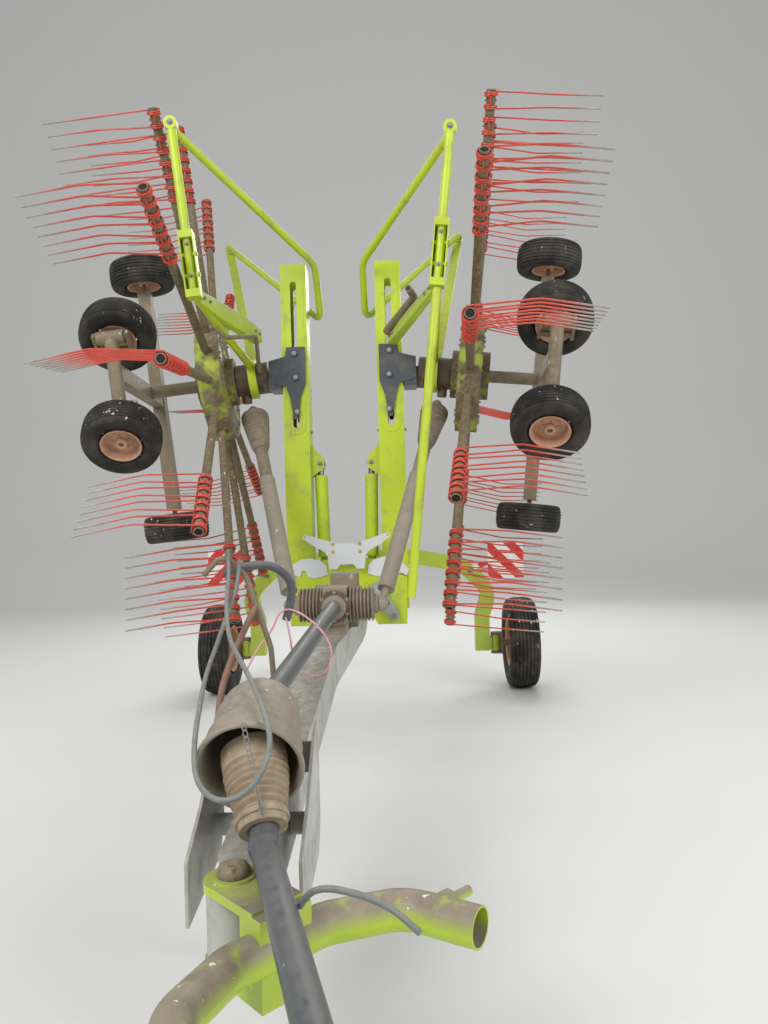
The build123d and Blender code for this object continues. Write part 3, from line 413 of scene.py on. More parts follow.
# Which finish each CAD node has, by the start of its name; the first match counts
finishes = (("boom_", limeEnamel), ("guard_", limeEnamel), ("lift_cylinder_barrel", limeEnamel),
            ("lift_cylinder_rod", chromedRod), ("hitch_", limeEnamelDusty),
            ("rear_axle_beam", limeEnamelDusty), ("rotor_chassis", dustySteel),
            ("rotor_carriage", slateEnamel), ("gear_head", rustySteel), ("castor_leg", dustySteel),
            ("front_wheel", tyreBlack), ("rear_wheel", tyreBlack), ("transport_wheel", tyreBlack),
            ("shaft_", greyPlastic), ("pto_shaft", blackPlastic), ("pto_cradle", paleEnamel),
            ("pto_", greyPlastic), ("marker_board", boardStripes), ("joint_bellows", greyPlastic),
            ("locking_lever", galvanised), ("centre_gearbox", castGrey), ("centre_frame", limeEnamel),
            ("pivot_plates", whitePlate), ("main_beam", paleEnamel), ("steering_knuckle", dustySteel),
            ("parking_stand", dustySteel), ("hose_holder", dustySteel))
for name in sorted(nodes):
    if name in [cord["node"] for cord in cords.values()]:
        continue
    hand = 1 if name.endswith("right") else -1
    if name.startswith(("rotor_tines", "rotor_hub")):
        dress(name, (tineRed if name.startswith("rotor_tines") else muddyHub)[hand])
        continue
    dress(name, next(material for start, material in finishes if name.startswith(start)))
print("nodes dressed")


# Extruded rubber hose, matt, with dust along its upper side and a fine braid showing through
def hoseRubber(name, colour, worn, dust):
    material, tree, shader, where = newMaterial(name, Specular_IOR_Level=0.35)
    shade = patches(tree, where, 45, 0.4, 0.75, 4.0)
    dusty = both(tree, upFacing(tree, 0.0, 1.0), patches(tree, where, 22, 0.3, 0.65, 4.0))
    share = fraction(tree, dusty, 0.7)
    braid = patches(tree, where, 2.5, 0.3, 0.7, 1.0)
    finish(tree, shader, mixColour(tree, share, mixColour(tree, shade, colour, worn), dust),
           roughBetween(tree, share, 0.5, 0.9), braid, 0.15, 0.0003)
    return material


# Each cord is a round NURBS curve through its points, in place of its CAD node
cordSkins = {"greyHose": hoseRubber("greyHose", "#6F7573", "#7F8581", "#969284"),
             "darkBundle": hoseRubber("darkBundle", "#55585B", "#64676A", "#8F8A7E"),
             "brownHose": hoseRubber("brownHose", "#7A5546", "#8C6A5A", "#A08E7E"),
             "pinkTwine": hoseRubber("pinkTwine", "#E3A3B2", "#D08C9C", "#C7A9A2")}
for label, cord in cords.items():
    curve = bpy.data.curves.new(label, "CURVE")
    curve.dimensions = "3D"
    curve.bevel_depth = cord["thick"] / 2000
    curve.bevel_resolution = 3
    curve.resolution_u = 10
    curve.render_resolution_u = 10
    curve.use_fill_caps = True
    spline = curve.splines.new("NURBS")
    line = np.array(cord["line"], float) / 1000 + (0, rotor["y"], 0)
    spline.points.add(len(line) - 1)
    spline.points.foreach_set("co", np.column_stack((line, np.ones(len(line)))).ravel())
    spline.order_u = 3
    spline.use_endpoint_u = True
    curve.materials.append(cordSkins[cord["skin"]])
    cordObject = bpy.data.objects.new(label, curve)
    bpy.context.scene.collection.objects.link(cordObject)
    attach(cordObject, "chassis")
    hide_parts(cord["node"])
print("cords laid:", len(cords))


# Shapes are (vertices in millimetres, list of face arrays); a piece is made of one or more of them.
# Round wire: each path point carries a circle square to the path; the circles start at the reference
def tubeShape(path, radius, sides, reference):
    path = np.asarray(path, float)
    along = np.gradient(path, axis=0)
    along /= np.linalg.norm(along, axis=1)[:, None]
    first = np.broadcast_to(np.asarray(reference, float), path.shape)
    first = first - along * np.sum(first * along, axis=1)[:, None]
    first /= np.linalg.norm(first, axis=1)[:, None]
    second = np.cross(along, first)
    turn = np.linspace(0, 2 * np.pi, sides, endpoint=False)
    ring = np.cos(turn)[None, :, None] * first[:, None] + np.sin(turn)[None, :, None] * second[:, None]
    width = np.broadcast_to(np.asarray(radius, float), len(path))[:, None, None]
    verts = (path[:, None] + ring * width).reshape(-1, 3)
    ends = np.array([np.arange(sides)[::-1], (len(path) - 1) * sides + np.arange(sides)])
    return verts, [gridFaces(len(path), sides), ends]


# Quads of a grid whose columns close round; its rows may close too
def gridFaces(rows, columns, closedRows=False):
    i, j = np.meshgrid(np.arange(rows if closedRows else rows - 1), np.arange(columns), indexing="ij")
    below, above = i * columns, (i + 1) % rows * columns
    onward = (j + 1) % columns
    return np.stack((below + j, below + onward, above + onward, above + j), axis=-1).reshape(-1, 4)


# Profile of (radius, distance) turned about +X; closed joins its last point to its first
def turnedShape(profile, sides, closed=True):
    profile = np.asarray(profile, float)
    turn = np.linspace(0, 2 * np.pi, sides, endpoint=False)
    radius, along = profile[:, 0][:, None], profile[:, 1][:, None]
    verts = np.stack((along + 0 * turn, radius * np.cos(turn), radius * np.sin(turn)), axis=-1).reshape(-1, 3)
    faces = [gridFaces(len(profile), sides, closed)]
    if not closed:
        faces.append(np.array([np.arange(sides)[::-1], (len(profile) - 1) * sides + np.arange(sides)]))
    return verts, faces


# Several shapes as one
def joined(*shapes):
    starts = np.cumsum([0] + [len(verts) for verts, faces in shapes])
    return (np.vstack([verts for verts, faces in shapes]),
            [face + start for (verts, faces), start in zip(shapes, starts) for face in faces])


# The shape at many places: turns holds 3 x 3 matrices whose columns are its new axes
def repeated(shape, turns, places):
    verts, faces = shape
    turns, places = np.asarray(turns, float), np.asarray(places, float)
    moved = np.einsum("kij,nj->kni", turns, verts) + places[:, None]
    starts = np.arange(len(places)) * len(verts)
    return (moved.reshape(-1, 3),
            [(face[None] + starts[:, None, None]).reshape(-1, face.shape[1]) for face in faces])


# The right-hand shape, or its mirror image for the left with its faces turned back outwards
def mirrored(shape, side):
    verts, faces = shape
    return shape if side > 0 else (verts * (-1, 1, 1), [face[:, ::-1] for face in faces])


# Matrix whose first column is xDir and whose others are square to it
def axes(xDir, near=(0.123, 0.456, 0.789)):
    x = np.asarray(xDir, float) / np.linalg.norm(xDir)
    y = np.asarray(near, float) - x * np.dot(near, x)
    y /= np.linalg.norm(y)
    return np.column_stack((x, y, np.cross(x, y)))


# Puts a shape, in millimetres of the machine's frame, into the scene as a piece of a body
def makePiece(name, shape, material, body, smooth=True, instead=()):
    verts, faces = shape
    mesh = bpy.data.meshes.new(name)
    mesh.from_pydata((verts / 1000).tolist(), [], [face for part in faces for face in part.tolist()])
    mesh.materials.append(material)
    mesh.polygons.foreach_set("use_smooth", np.full(len(mesh.polygons), smooth))
    if smooth:
        mesh.set_sharp_from_angle(angle=math.radians(38))
    piece = bpy.data.objects.new(name, mesh)
    bpy.context.scene.collection.objects.link(piece)
    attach(piece, body)
    if instead:
        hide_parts(*instead)


# Point of the right-hand rotor's frame in millimetres of the machine's frame
def rotorPoint(u, f, n):
    return spot(u, f, n) * 1000


# Hexagon head with a rounded crown on a washer, standing up along +X from its seat
def hexBolt(across, height, washer=1.6):
    ring = turnedShape([(across * 0.5, 0), (across * 0.98, 0), (across, 0.5), (across * 0.98, washer),
                        (across * 0.5, washer)], 16, False)
    crown = turnedShape([(across * 0.56, washer), (across * 0.56, height * 0.86), (across * 0.5, height)], 6,
                        False)
    return joined(ring, crown)


# Bolt heads at (place, direction) spots of the right-hand side
def bolts(name, spots, across, height, material, body, side=1):
    turns = [axes(direction) for place, direction in spots]
    shape = repeated(hexBolt(across, height), turns, [place for place, direction in spots])
    makePiece(name, mirrored(shape, side), material, body)


rightUp, rightForward, rightOut = sideDirs(1)
sideNames = ((1, "right"), (-1, "left"))

# Double tines: one wire wound in two coils round the arm, with a leg from each; a bolt holds each one
tine = {"wire": 4.75, "sides": 6, "turns": 2.5, "pitch": 62, "first": 18, "coil": 34.25, "knee": (-83, 305),
        "tip": (-57, 592), "arms": 12, "perArm": 4, "reach": 1600,
        "phase": {1: 1.46, -1: 6.73}, "hubRing": 300, "hubFace": 70}
# Arm ends: a turned rim, and a near-black disc 0.9 mm inside it that is painted shade for the bore
armEnd = {"rim": [(20, 0.4), (24.4, 0.4), (25, 1.2), (25, 4.4), (24, 5), (21, 5), (20.4, 4)],
          "mouth": [(20.6, 0.3), (20.6, 0.7), (0.4, 0.9)]}


# Path of one double tine: tip, knee, helix round X, straight bridge, helix, knee, tip
def tineWire():
    steps = np.linspace(0, 1, 38)
    turn = np.pi + 2 * np.pi * tine["turns"] * steps
    helix = np.column_stack((42.5 - 23 * steps, tine["coil"] * np.cos(turn), tine["coil"] * np.sin(turn)))
    helixOut = np.column_stack((0 * steps, np.cos(turn), np.sin(turn)))
    kneeY, kneeZ = tine["knee"]
    legs = np.array([(31, *tine["tip"]), (31, -70, 450), (31, -80.5, 335), (32, kneeY + 0.6, kneeZ),
                     (33, -79, 275), (38, -58, 150), (41, -41, 45)])
    half = np.vstack((legs, helix))
    halfOut = np.vstack((np.tile((0, -1, 0), (len(legs), 1)), helixOut))
    path = np.vstack((half, half[::-1] * (-1, 1, 1)))
    return path, np.vstack((halfOut, halfOut[::-1]))


# Axes and directions of the twelve arms: along the arm, square to it in the rotor's plane, outward
def armFrames(side):
    angles = np.radians(tine["phase"][side] + 360 / tine["arms"] * np.arange(tine["arms"]))
    x = np.cos(angles)[:, None] * rightUp + np.sin(angles)[:, None] * rightForward
    z = np.broadcast_to(rightOut, x.shape)
    return np.stack((x, np.cross(z, x), z), axis=-1)


wirePath, wireOut = tineWire()
tineShape = tubeShape(wirePath, tine["wire"], tine["sides"], wireOut)
holderBolt = repeated(hexBolt(9.5, 9, 1.5), [axes((0, 0, 1)), axes((0, 0, -1))],
                      [(0, 0, 24.6), (0, 0, -24.6)])
for side, sideName in sideNames:
    frames = np.repeat(armFrames(side), tine["perArm"], axis=0)
    spacing = (2 * np.arange(tine["perArm"]) + 0.5) * tine["pitch"]
    reaches = np.tile(tine["reach"] - tine["first"] - spacing, tine["arms"])
    places = rotorPoint(0, 0, 0) + frames[:, :, 0] * reaches[:, None]
    makePiece(f"wireTines_{sideName}", mirrored(repeated(tineShape, frames, places), side), tineRed[side],
              f"rotor_{sideName}", instead=[f"rotor_tines_{sideName}"])
    makePiece(f"tineBolts_{sideName}", mirrored(repeated(holderBolt, frames, places), side), zincSteel,
              f"rotor_{sideName}", smooth=False)
    arms = armFrames(side)
    armTips = rotorPoint(0, 0, 0) + arms[:, :, 0] * tine["reach"]
    rims = repeated(turnedShape(armEnd["rim"], 20), arms, armTips)
    makePiece(f"armRims_{sideName}", mirrored(rims, side), dustySteel, f"rotor_{sideName}")
    # A near-black disc just inside each arm's end is painted shade for the open bore
    boreShadeDiscs = repeated(turnedShape(armEnd["mouth"], 20, False), arms, armTips)
    makePiece(f"armBoreShade_{sideName}", mirrored(boreShadeDiscs, side), boreShadeBlack, f"rotor_{sideName}")
    hubSpots = [(rotorPoint(0, 0, 0) + arm[:, 0] * tine["hubRing"] + arm[:, 1] * gap
                 + rightOut * face * tine["hubFace"], rightOut * face)
                for arm in arms for gap in (-22, 22) for face in (-1, 1)]
    bolts(f"hubBolts_{sideName}", hubSpots, 13, 11, zincSteel, f"rotor_{sideName}", side)
print("tines wound")

# Wheels: moulded tyre with grooves round it on a dusty salmon rim, measured from the wheel's middle
smallWheel = {"radius": 215, "width": 180, "rim": 104, "bore": 15.35, "nuts": 5, "nutCircle": 44,
              "groove": 6, "around": 88}
roadWheel = {"radius": 405, "width": 262, "rim": 198, "bore": 30.35, "nuts": 6, "nutCircle": 80,
             "groove": 9, "around": 104, "x": 1366, "behind": 2120}
castor = {"swing": 42, "half": 200, "f": 660, "n": 460, "reach": 150, "trail": 85}
beamWheel = {"half": 870, "f": -320, "n": 460}


# Section turned about X: a crown whose radius falls off as a power, grooves round it, bulged sidewalls
def tyreShape(wheel):
    crown, rim = wheel["radius"], wheel["rim"]
    middle = rim + 0.52 * (crown - rim)
    share = np.linspace(-0.92, 0.92, 63)
    fall = np.sqrt(np.clip(1 - np.abs(share) ** 2.8, 0, 1))
    sunk = sum(np.exp(-((np.abs(share) - place) / 0.03) ** 4) for place in (0.0, 0.24, 0.48, 0.7))
    height = middle + (crown - middle) * fall ** 0.5 - wheel["groove"] * np.clip(sunk, 0, 1)
    crownPart = np.column_stack((height, share * wheel["width"] / 2))
    swing = np.radians(np.linspace(72, 152, 16))
    cosine = np.cos(swing)
    low = np.where(cosine > 0, middle + (crown - middle) * np.abs(cosine) ** 0.5,
                   middle - (middle - rim - 2) * np.abs(cosine))
    wall = np.column_stack((low, np.sin(swing) ** 0.72 * wheel["width"] / 2))
    return turnedShape(np.vstack(((wall * (1, -1))[::-1], crownPart, wall)), wheel["around"])


# Pressed dish with a rolled flange, the same on both faces, bored for the axle
def rimShape(wheel):
    w, r, b = wheel["width"] / 2, wheel["rim"], wheel["bore"]
    face = [(b, 0.70), (b * 1.9, 0.70), (b * 2.1, 0.62), (b * 2.1, 0.40), (r * 0.50, 0.36), (r * 0.58, 0.26),
            (r * 0.84, 0.22), (r * 0.90, 0.34), (r * 0.93, 0.76), (r * 0.99, 0.84), (r * 1.05, 0.86),
            (r * 1.07, 0.83), (r * 1.01, 0.78), (r * 0.96, 0.66)]
    left = [(radius, -share * w) for radius, share in face]
    return turnedShape(left + [(radius, -along) for radius, along in left[::-1]], 48)


# Tyre, rim and nuts in place of one CAD wheel
def fitWheel(label, wheel, centre, axle, body, node, side):
    frame = axes(axle)
    tyreName, rimName = f"tyre_{label}", f"rim_{label}"
    makePiece(tyreName, mirrored(repeated(tyreShape(wheel), [frame], [centre]), side), tyreBlack, body,
              instead=[node])
    makePiece(rimName, mirrored(repeated(rimShape(wheel), [frame], [centre]), side), rustyRim, body)
    angles = np.linspace(0, 2 * np.pi, wheel["nuts"], endpoint=False)
    spots = [(centre + frame @ (face * wheel["width"] / 2 * 0.31, wheel["nutCircle"] * math.cos(a),
                                wheel["nutCircle"] * math.sin(a)), frame[:, 0] * face)
             for a in angles for face in (-1, 1)]
    bolts(f"nuts_{label}", spots, 10, 12, zincSteel, body, side)


for side, sideName in sideNames:
    for level, end in (("upper", 1), ("lower", -1)):
        swing = math.radians(castor["swing"])
        pin = rotorPoint(end * castor["half"], castor["f"], castor["n"])
        across = end * (rightUp * math.cos(swing) - rightForward * math.sin(swing))
        behind = -rightUp * math.sin(swing) - rightForward * math.cos(swing)
        fitWheel(f"front_{level}_{sideName}", smallWheel,
                 pin + across * castor["reach"] + behind * castor["trail"], across,
                 f"castor_wheel_{level}_{sideName}", f"front_wheel_{level}_{sideName}", side)
        fitWheel(f"rear_{level}_{sideName}", smallWheel,
                 rotorPoint(end * beamWheel["half"], beamWheel["f"], beamWheel["n"]), rightUp,
                 f"beam_wheel_{level}_{sideName}", f"rear_wheel_{level}_{sideName}", side)
    roadCentre = np.array((roadWheel["x"], rotorY + roadWheel["behind"], roadWheel["radius"]))
    fitWheel(f"road_{sideName}", roadWheel, roadCentre, (1, 0, 0), f"road_wheel_{sideName}",
             f"transport_wheel_{sideName}", side)
print("wheels fitted")

# Rubber bellows and the bell guard, turned about their own shafts
gearbox = {"y": rotorY - 850, "z": 1100, "face": 105, "jointX": 240, "boltX": 49, "boltZ": 82, "flange": 73}
bellows = {"ribs": 9, "low": 56, "high": 91, "deep": 9, "run": 262, "tube": 38, "ball": 34}


# Moves a shape turned about +X so that its axis runs from start towards end
def alongAxis(shape, start, end):
    return repeated(shape, [axes(np.subtract(end, start))], [start])


# Profile whose radius swings as a cosine, count times, between low and high envelopes
def corrugated(start, length, low, high, count, depth, bore, closed=True):
    steps = np.linspace(0, 1, count * 8 + 1)
    radius = low + (high - low) * steps - depth * (0.5 + 0.5 * np.cos(2 * np.pi * count * steps)) ** 1.6
    body = np.column_stack((radius, start + length * steps))
    return np.vstack(([(bore, start)], body, [(bore, start + length)])) if closed else body


lowJoint = np.array((gearbox["jointX"], gearbox["y"], float(gearbox["z"])))
topJoint = rotorPoint(-205, 0, -200)
reach = np.linalg.norm(topJoint - lowJoint)
ballTurn = np.radians(np.linspace(-55, 88, 10))
tube, ball = bellows["tube"], bellows["ball"]
upperProfile = np.vstack(([(tube, 300), (tube, reach - 352), (tube + 8, reach - 350),
                           (tube + 8, reach - 330)],
                          corrugated(reach - 330, bellows["run"], bellows["low"], bellows["high"],
                                     bellows["ribs"], bellows["deep"], 0, False),
                          [(88, reach - 60), (22, reach - 58), (22, reach - 30)],
                          np.column_stack((ball * np.cos(ballTurn), reach + ball * np.sin(ballTurn)))))
for side, sideName in sideNames:
    shaft = alongAxis(turnedShape(upperProfile, 40, False), lowJoint, topJoint)
    makePiece(f"bellowsShaft_{sideName}", mirrored(shaft, side), dustyRubber, f"shaft_up_{sideName}",
              instead=[f"shaft_upper_{sideName}"])
coupling = [alongAxis(turnedShape(corrugated(66, 134, 94, 90, 7, 17, 52.6), 48),
                      (0, gearbox["y"], gearbox["z"]), (hand, gearbox["y"], gearbox["z"])) for hand in (1, -1)]
makePiece("couplingBellows", joined(*coupling), dustyRubber, "chassis", instead=["joint_bellows"])

bell = {"back": (-95, rotorY - 2426, 940), "rim": (-82, rotorY - 2700, 824),
        "collar": (-25, rotorY - 2800, 690), "bellowsAt": 0.72, "rings": (0.26, 0.84), "ringPitch": 0.083,
        "ringDeep": 13}
bellBack, bellRim, collar = (np.array(bell[place], float) for place in ("back", "rim", "collar"))
bellLength = np.linalg.norm(bellRim - bellBack)
bellowsFoot = bellBack + (bellRim - bellBack) * bell["bellowsAt"]
bellowsRun = np.linalg.norm(collar - bellowsFoot)
bellProfile = [(60.3, -20), (90, -20), (100, -16), (112, -2), (124, 24), (129, 52), (130, 88), (137, 92),
               (138.5, 100), (137, 108), (136.5, 150), (138, 190), (145, 194), (147, 202), (146, 211),
               (146, 262), (148, bellLength - 30), (156, bellLength - 24), (160, bellLength - 15),
               (160, bellLength - 7), (156, bellLength - 1), (150, bellLength), (143.5, bellLength - 8),
               (141, 262), (131, 150), (119, 40), (90, -8), (60.3, -8)]
# The bellows taper as a power along the run, less a cosine ring at each pitch
firstRing, lastRing = bell["rings"]
ringSteps = np.linspace(firstRing, lastRing, 57)
rings = 0.5 - 0.5 * np.cos(ringSteps * 2 * np.pi / bell["ringPitch"])
ripple = 98 - 24 * ((ringSteps - firstRing) / (lastRing - firstRing)) ** 1.3 - bell["ringDeep"] * rings
bellowsProfile = np.vstack(([(62, 0), (97, 0), (98, 4), (97, 20), (98.4, 24), (97.4, 44)],
                            np.column_stack((ripple, ringSteps * bellowsRun)),
                            [(74, 0.86 * bellowsRun), (77, 0.865 * bellowsRun), (78, 0.9 * bellowsRun),
                             (76, 0.915 * bellowsRun), (70, 0.92 * bellowsRun), (68, bellowsRun),
                             (46.6, bellowsRun), (46.6, 0.8 * bellowsRun)]))
makePiece("bellGuard", alongAxis(turnedShape(bellProfile, 64), bellBack, bellRim), greyPlastic, "chassis",
          instead=["pto_guards"])
makePiece("bellBellows", alongAxis(turnedShape(bellowsProfile, 56), bellowsFoot, collar), sandyRubber,
          "chassis")
print("bellows and bell made")

# Thin safety chain from the bell's rim to the collar: oval links, every other one turned a quarter
chain = {"links": 17, "wire": 1.7, "half": (6.2, 11.5), "from": (-79, -2139, 967), "to": (-14, -2222, 752),
         "sag": (0, 6, -22)}
hangFrom, hangTo = np.array(chain["from"], float), np.array(chain["to"], float)
share = np.linspace(0, 1, chain["links"])[:, None]
chainLine = hangFrom + (hangTo - hangFrom) * share + 4 * share * (1 - share) * chain["sag"]
chainDirs = np.gradient(chainLine, axis=0)
oval = np.linspace(0, 2 * np.pi, 16, endpoint=False)
ovalPath = np.column_stack((chain["half"][1] * np.cos(oval), chain["half"][0] * np.sin(oval), 0 * oval))
ovalOut = np.column_stack((np.cos(oval), np.sin(oval), 0 * oval))
turn = np.linspace(0, 2 * np.pi, 5, endpoint=False)
linkVerts = (ovalPath[:, None] + chain["wire"] * (np.cos(turn)[None, :, None] * ovalOut[:, None]
                                                  + np.sin(turn)[None, :, None] * (0, 0, -1))).reshape(-1, 3)
linkTurns = [axes(direction, (1, 0.2, 0.1) if k % 2 else (0, 0.3, 1)) for k, direction in enumerate(chainDirs)]
links = repeated((linkVerts, [gridFaces(16, 5, True)]), linkTurns, chainLine)
makePiece("safetyChain", links, zincSteel, "chassis")

# Gearbox flange and bolts, saddle and lever bolts, cap over the drawbar pin
flangeProfile = [(63, 0), (82, 0), (84, 2), (84, 12), (82, 14), (63, 14)]
capProfile = [(42, 0), (44, 5), (43, 16), (37, 26), (24, 32), (8, 34), (0.6, 34.2)]
drawbarPin = {"x": -85, "y": rotorY - 2910, "top": 618.3}
toFront = np.array((0, -1, 0))
gearFace = gearbox["y"] - gearbox["face"]
flange = alongAxis(turnedShape(flangeProfile, 36), (0, gearFace, gearbox["z"]),
                   (0, gearFace - 95, gearbox["z"]))
makePiece("inputFlange", flange, rustySteel, "chassis")
gearSpots = [(np.array((x, gearFace, gearbox["z"] + z)), toFront)
             for x in (-gearbox["boltX"], gearbox["boltX"]) for z in (-gearbox["boltZ"], gearbox["boltZ"])]
gearSpots += [(np.array((gearbox["flange"] * math.cos(a), gearFace - 14,
                         gearbox["z"] + gearbox["flange"] * math.sin(a))), toFront)
              for a in np.radians(np.arange(30, 390, 60))]
bolts("gearboxBolts", gearSpots, 9, 9, zincSteel, "chassis")
saddle = {"face": rotorY - 156, "x": (-84, 84), "z": (1352, 1400), "leverBolt": (286, rotorY - 150.2, 946)}
bolts("saddleBolts", [(np.array((x, saddle["face"], z)), toFront) for x in saddle["x"] for z in saddle["z"]],
      11, 11, yellowZinc, "chassis")
bolts("leverBolt", [(np.array(saddle["leverBolt"]), toFront)], 19, 15, zincSteel, "chassis")
capFoot = (drawbarPin["x"], drawbarPin["y"], drawbarPin["top"])
makePiece("pinCap", alongAxis(turnedShape(capProfile, 36, False), capFoot, np.add(capFoot, (0, 0, 1))),
          dustySteel, "hitch")

# Guards: bolts through the channel tray and in the heads, boom and carriage bolts, and the bracket arms.
# Places on a rotor's frame are u up, f forward and n outward from the hub, in millimetres
guards = {"front": {1: 1083, -1: 1178}, "rear": {1: 1240, -1: 1228}, "f": 980, "level": {1: -194, -1: -84},
          "tray": 23.6, "trayBolts": (365, 535), "headBolt": 25.3}
boom = {"x": 300, "half": 81.0, "stops": (2886, 2118), "lugBolt": (163, rotorY - 42.2, 1913),
        "cheekBolts": ((300, 2608), (295, 2456), (290, 2239))}
bracket = {"top": (275, 970), "foot": {1: (160, 152, -505), -1: (222, 175, -312)}, "thin": 20, "wide": 32,
           "tall": {1: (30, 8), -1: (34, 22)}, "gusset": ((225, 230, -300), (48, 92, -279)),
           "gussetThin": 7, "gussetTall": (90, 40), "mouth": [(14, 0.3), (14, 0.7), (0.4, 0.9)],
           "rod": 13, "rodCorners": ((150, 700, -136), (108, 690, -180), (166, 421, -320), (16, 131, -283),
                                     (22, 92, -279)),
           "crank": (20, 27), "crankCorners": ((318, 725, -368), (311, 584, -342), (200, 211, -530))}


# Rounded oblong section, a superellipse, carried along a path; sizes may change along it
def roundedBar(path, halfWidth, halfHeight, sideDir):
    path = np.asarray(path, float)
    along = np.gradient(path, axis=0)
    along /= np.linalg.norm(along, axis=1)[:, None]
    across = sideDir - along * np.sum(sideDir * along, axis=1)[:, None]
    across /= np.linalg.norm(across, axis=1)[:, None]
    third = np.cross(along, across)
    turn = np.linspace(0, 2 * np.pi, 28, endpoint=False)
    c, s = np.cos(turn), np.sin(turn)
    wide = (np.sign(c) * np.abs(c) ** 0.3)[None, :, None] * np.asarray(halfWidth, float)[:, None, None]
    tall = (np.sign(s) * np.abs(s) ** 0.3)[None, :, None] * np.asarray(halfHeight, float)[:, None, None]
    verts = (path[:, None] + across[:, None] * wide + third[:, None] * tall).reshape(-1, 3)
    ends = np.array([np.arange(28)[::-1], (len(path) - 1) * 28 + np.arange(28)])
    return verts, [gridFaces(len(path), 28), ends]


for side, sideName in sideNames:
    level = guards["level"][side]
    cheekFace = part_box("rotor_carriage_right")[0][1] * 1000
    bolts(f"cheekBolts_{sideName}", [(np.array((x, cheekFace, z)), toFront) for x, z in boom["cheekBolts"]],
          14, 10, galvanised, f"carriage_{sideName}", side)
    frontTop = rotorPoint(guards["front"][side], guards["f"], level)
    rearTop = rotorPoint(guards["rear"][side], -guards["f"], level)
    hinge = (frontTop - rearTop) / np.linalg.norm(frontTop - rearTop)
    bolts(f"headBolts_{sideName}", [(frontTop + hinge * guards["headBolt"], hinge),
                                     (rearTop - hinge * guards["headBolt"], -hinge)],
          17, 13, zincSteel, f"bow_{sideName}", side)
    bolts(f"trayBolts_{sideName}",
          [(rotorPoint(u, guards["f"] + guards["tray"], level), rightForward) for u in guards["trayBolts"]],
          12, 9, zincSteel, f"carriage_{sideName}", side)
    stopSpots = [(np.array((boom["x"] - boom["half"], rotorY, z)), (-1, 0, 0)) for z in boom["stops"]]
    stopSpots += [(np.array((boom["x"] + boom["half"], rotorY, boom["stops"][1])), (1, 0, 0)),
                  (np.array(boom["lugBolt"]), toFront)]
    bolts(f"stopBolts_{sideName}", stopSpots, 16, 12, zincSteel, f"boom_{sideName}", side)
    armTop, armFoot = rotorPoint(*bracket["top"], level), rotorPoint(*bracket["foot"][side])
    armRun = armFoot - armTop
    acrossArm = rightOut - armRun * (rightOut @ armRun) / (armRun @ armRun)
    acrossArm /= np.linalg.norm(acrossArm)
    share = np.linspace(0.03, 0.97, 12)
    thin, wide = bracket["thin"], bracket["wide"]
    tall, bulge = bracket["tall"][side]
    bar = roundedBar(armTop + armRun * share[:, None], thin + (wide - thin) * share,
                     tall + bulge * np.sin(share * np.pi * 0.8), rightOut)
    makePiece(f"bracketArm_{sideName}", mirrored(bar, side), limeEnamelDusty, f"carriage_{sideName}")
    bolts(f"bracketBolts_{sideName}",
          [(armTop + armRun * t - acrossArm * (thin + (wide - thin) * t), -acrossArm)
           for t in (0.08, 0.16, 0.86, 0.93)], 13, 11, zincSteel, f"carriage_{sideName}", side)


# Straight runs through the corners, each corner rounded as a parabola that starts bend mm before it
def bentPath(corners, bend):
    corners = np.asarray(corners, float)
    steps = np.linspace(0, 1, 8)[:, None]
    rounds = [corners[:1]]
    for before, here, after in zip(corners, corners[1:], corners[2:]):
        start = here + (before - here) * bend / np.linalg.norm(before - here)
        end = here + (after - here) * bend / np.linalg.norm(after - here)
        rounds.append(start * (1 - steps) ** 2 + 2 * here * steps * (1 - steps) + end * steps ** 2)
    return np.vstack(rounds + [corners[-1:]])


# Left: plate under the bracket arm and a bent rod before it. Right: an open crank tube along the arm, with a
# near-black disc of painted shade just inside its open end
gussetTop, gussetFoot = (rotorPoint(*corner) for corner in bracket["gusset"])
gussetSteps = np.linspace(0, 1, 6)
gusset = roundedBar(gussetTop + (gussetFoot - gussetTop) * gussetSteps[:, None],
                    bracket["gussetThin"] + 0 * gussetSteps,
                    bracket["gussetTall"][0] - bracket["gussetTall"][1] * gussetSteps, rightOut)
makePiece("bracketGusset", mirrored(gusset, -1), limeEnamelDusty, "carriage_left")
rodCorners = [rotorPoint(*corner) for corner in bracket["rodCorners"]]
bentRod = tubeShape(bentPath(rodCorners, 28), bracket["rod"], 12, rightUp)
makePiece("bentRod_left", mirrored(bentRod, -1), dustySteel, "carriage_left")
crankCorners = [rotorPoint(*corner) for corner in bracket["crankCorners"]]
crankPath = bentPath(crankCorners, 40)
crank = tubeShape(crankPath, np.linspace(*bracket["crank"], len(crankPath)), 16, rightUp)
makePiece("crankTube_right", crank, dustySteel, "carriage_right")
# The near-black disc is painted shade standing in for the dark inside of the open crank tube
boreShadeDisc = turnedShape(bracket["mouth"], 20, False)
makePiece("crankBoreShade_right", alongAxis(boreShadeDisc, crankCorners[0], crankCorners[0] * 2 - crankCorners[1]),
          boreShadeBlack, "carriage_right")
print("small fittings made")

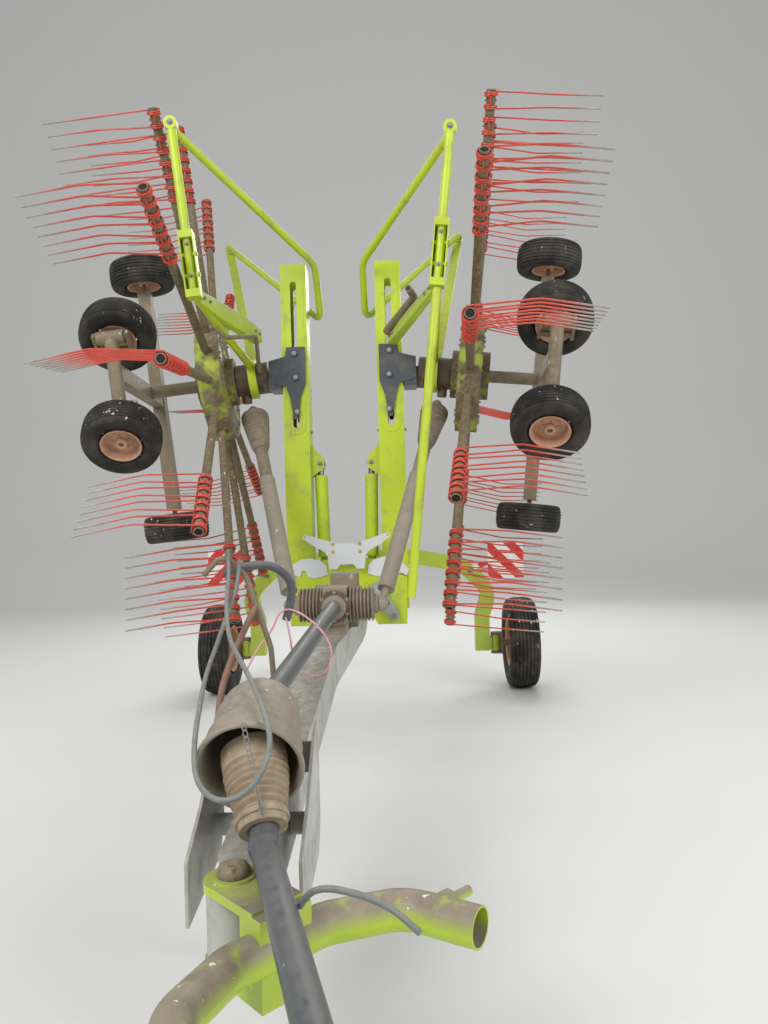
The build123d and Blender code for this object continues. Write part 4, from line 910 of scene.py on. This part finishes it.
# Studio: pale floor and backdrop, soft lamps
studio = {"floor": 60.0, "wall": 26.0, "bend": 4.0, "back": 14.0, "worldStrength": 0.55,
          "lamps": (("keyLamp", (-4.5, -7.0, 7.5), (0, 0.4, 1.8), 5.0, 620),
                    ("fillLamp", (6.0, -5.0, 5.0), (0, 0.4, 1.8), 5.0, 300),
                    ("backLamp", (1.0, 7.5, 7.0), (0, 0.4, 2.0), 6.0, 420))}
backdrop, tree, shader, where = newMaterial("paleBackdrop", Roughness=0.9)
shader.inputs["Base Color"].default_value = linear("#D9D9D6")


# Floor that sweeps up into a wall: a quarter circle of radius bend joins two flats
def stageSheet(name, size, bend, back):
    angles = np.linspace(0, np.pi / 2, 24)
    depth = np.concatenate(([-size], back - bend + bend * np.sin(angles), [back]))
    height = np.concatenate(([0], bend - bend * np.cos(angles), [studio["wall"]]))
    across = np.array([-size, size])
    points = np.array([(x, y, z) for y, z in zip(depth, height) for x in across])
    faces = [(2 * i, 2 * i + 1, 2 * i + 3, 2 * i + 2) for i in range(len(depth) - 1)]
    mesh = bpy.data.meshes.new(name)
    mesh.from_pydata(points.tolist(), [], faces)
    mesh.materials.append(backdrop)
    mesh.polygons.foreach_set("use_smooth", [True] * len(faces))
    sheet = bpy.data.objects.new(name, mesh)
    bpy.context.scene.collection.objects.link(sheet)


stageSheet("floorSweep", studio["floor"] / 2, studio["bend"], studio["back"])
world = bpy.data.worlds.new("softWorld")
world.use_nodes = True
world.node_tree.nodes["Background"].inputs["Color"].default_value = linear("#F4F6F8")
world.node_tree.nodes["Background"].inputs["Strength"].default_value = studio["worldStrength"]
bpy.context.scene.world = world
for name, place, aim, size, power in studio["lamps"]:
    lamp = bpy.data.lights.new(name, "AREA")
    lamp.energy = power
    lamp.size = size
    lampObject = bpy.data.objects.new(name, lamp)
    lampObject.location = place
    lampObject.rotation_euler = (Vector(aim) - Vector(place)).to_track_quat("-Z", "Y").to_euler()
    bpy.context.scene.collection.objects.link(lampObject)
bpy.context.scene.view_settings.view_transform = "Standard"
print("studio set")
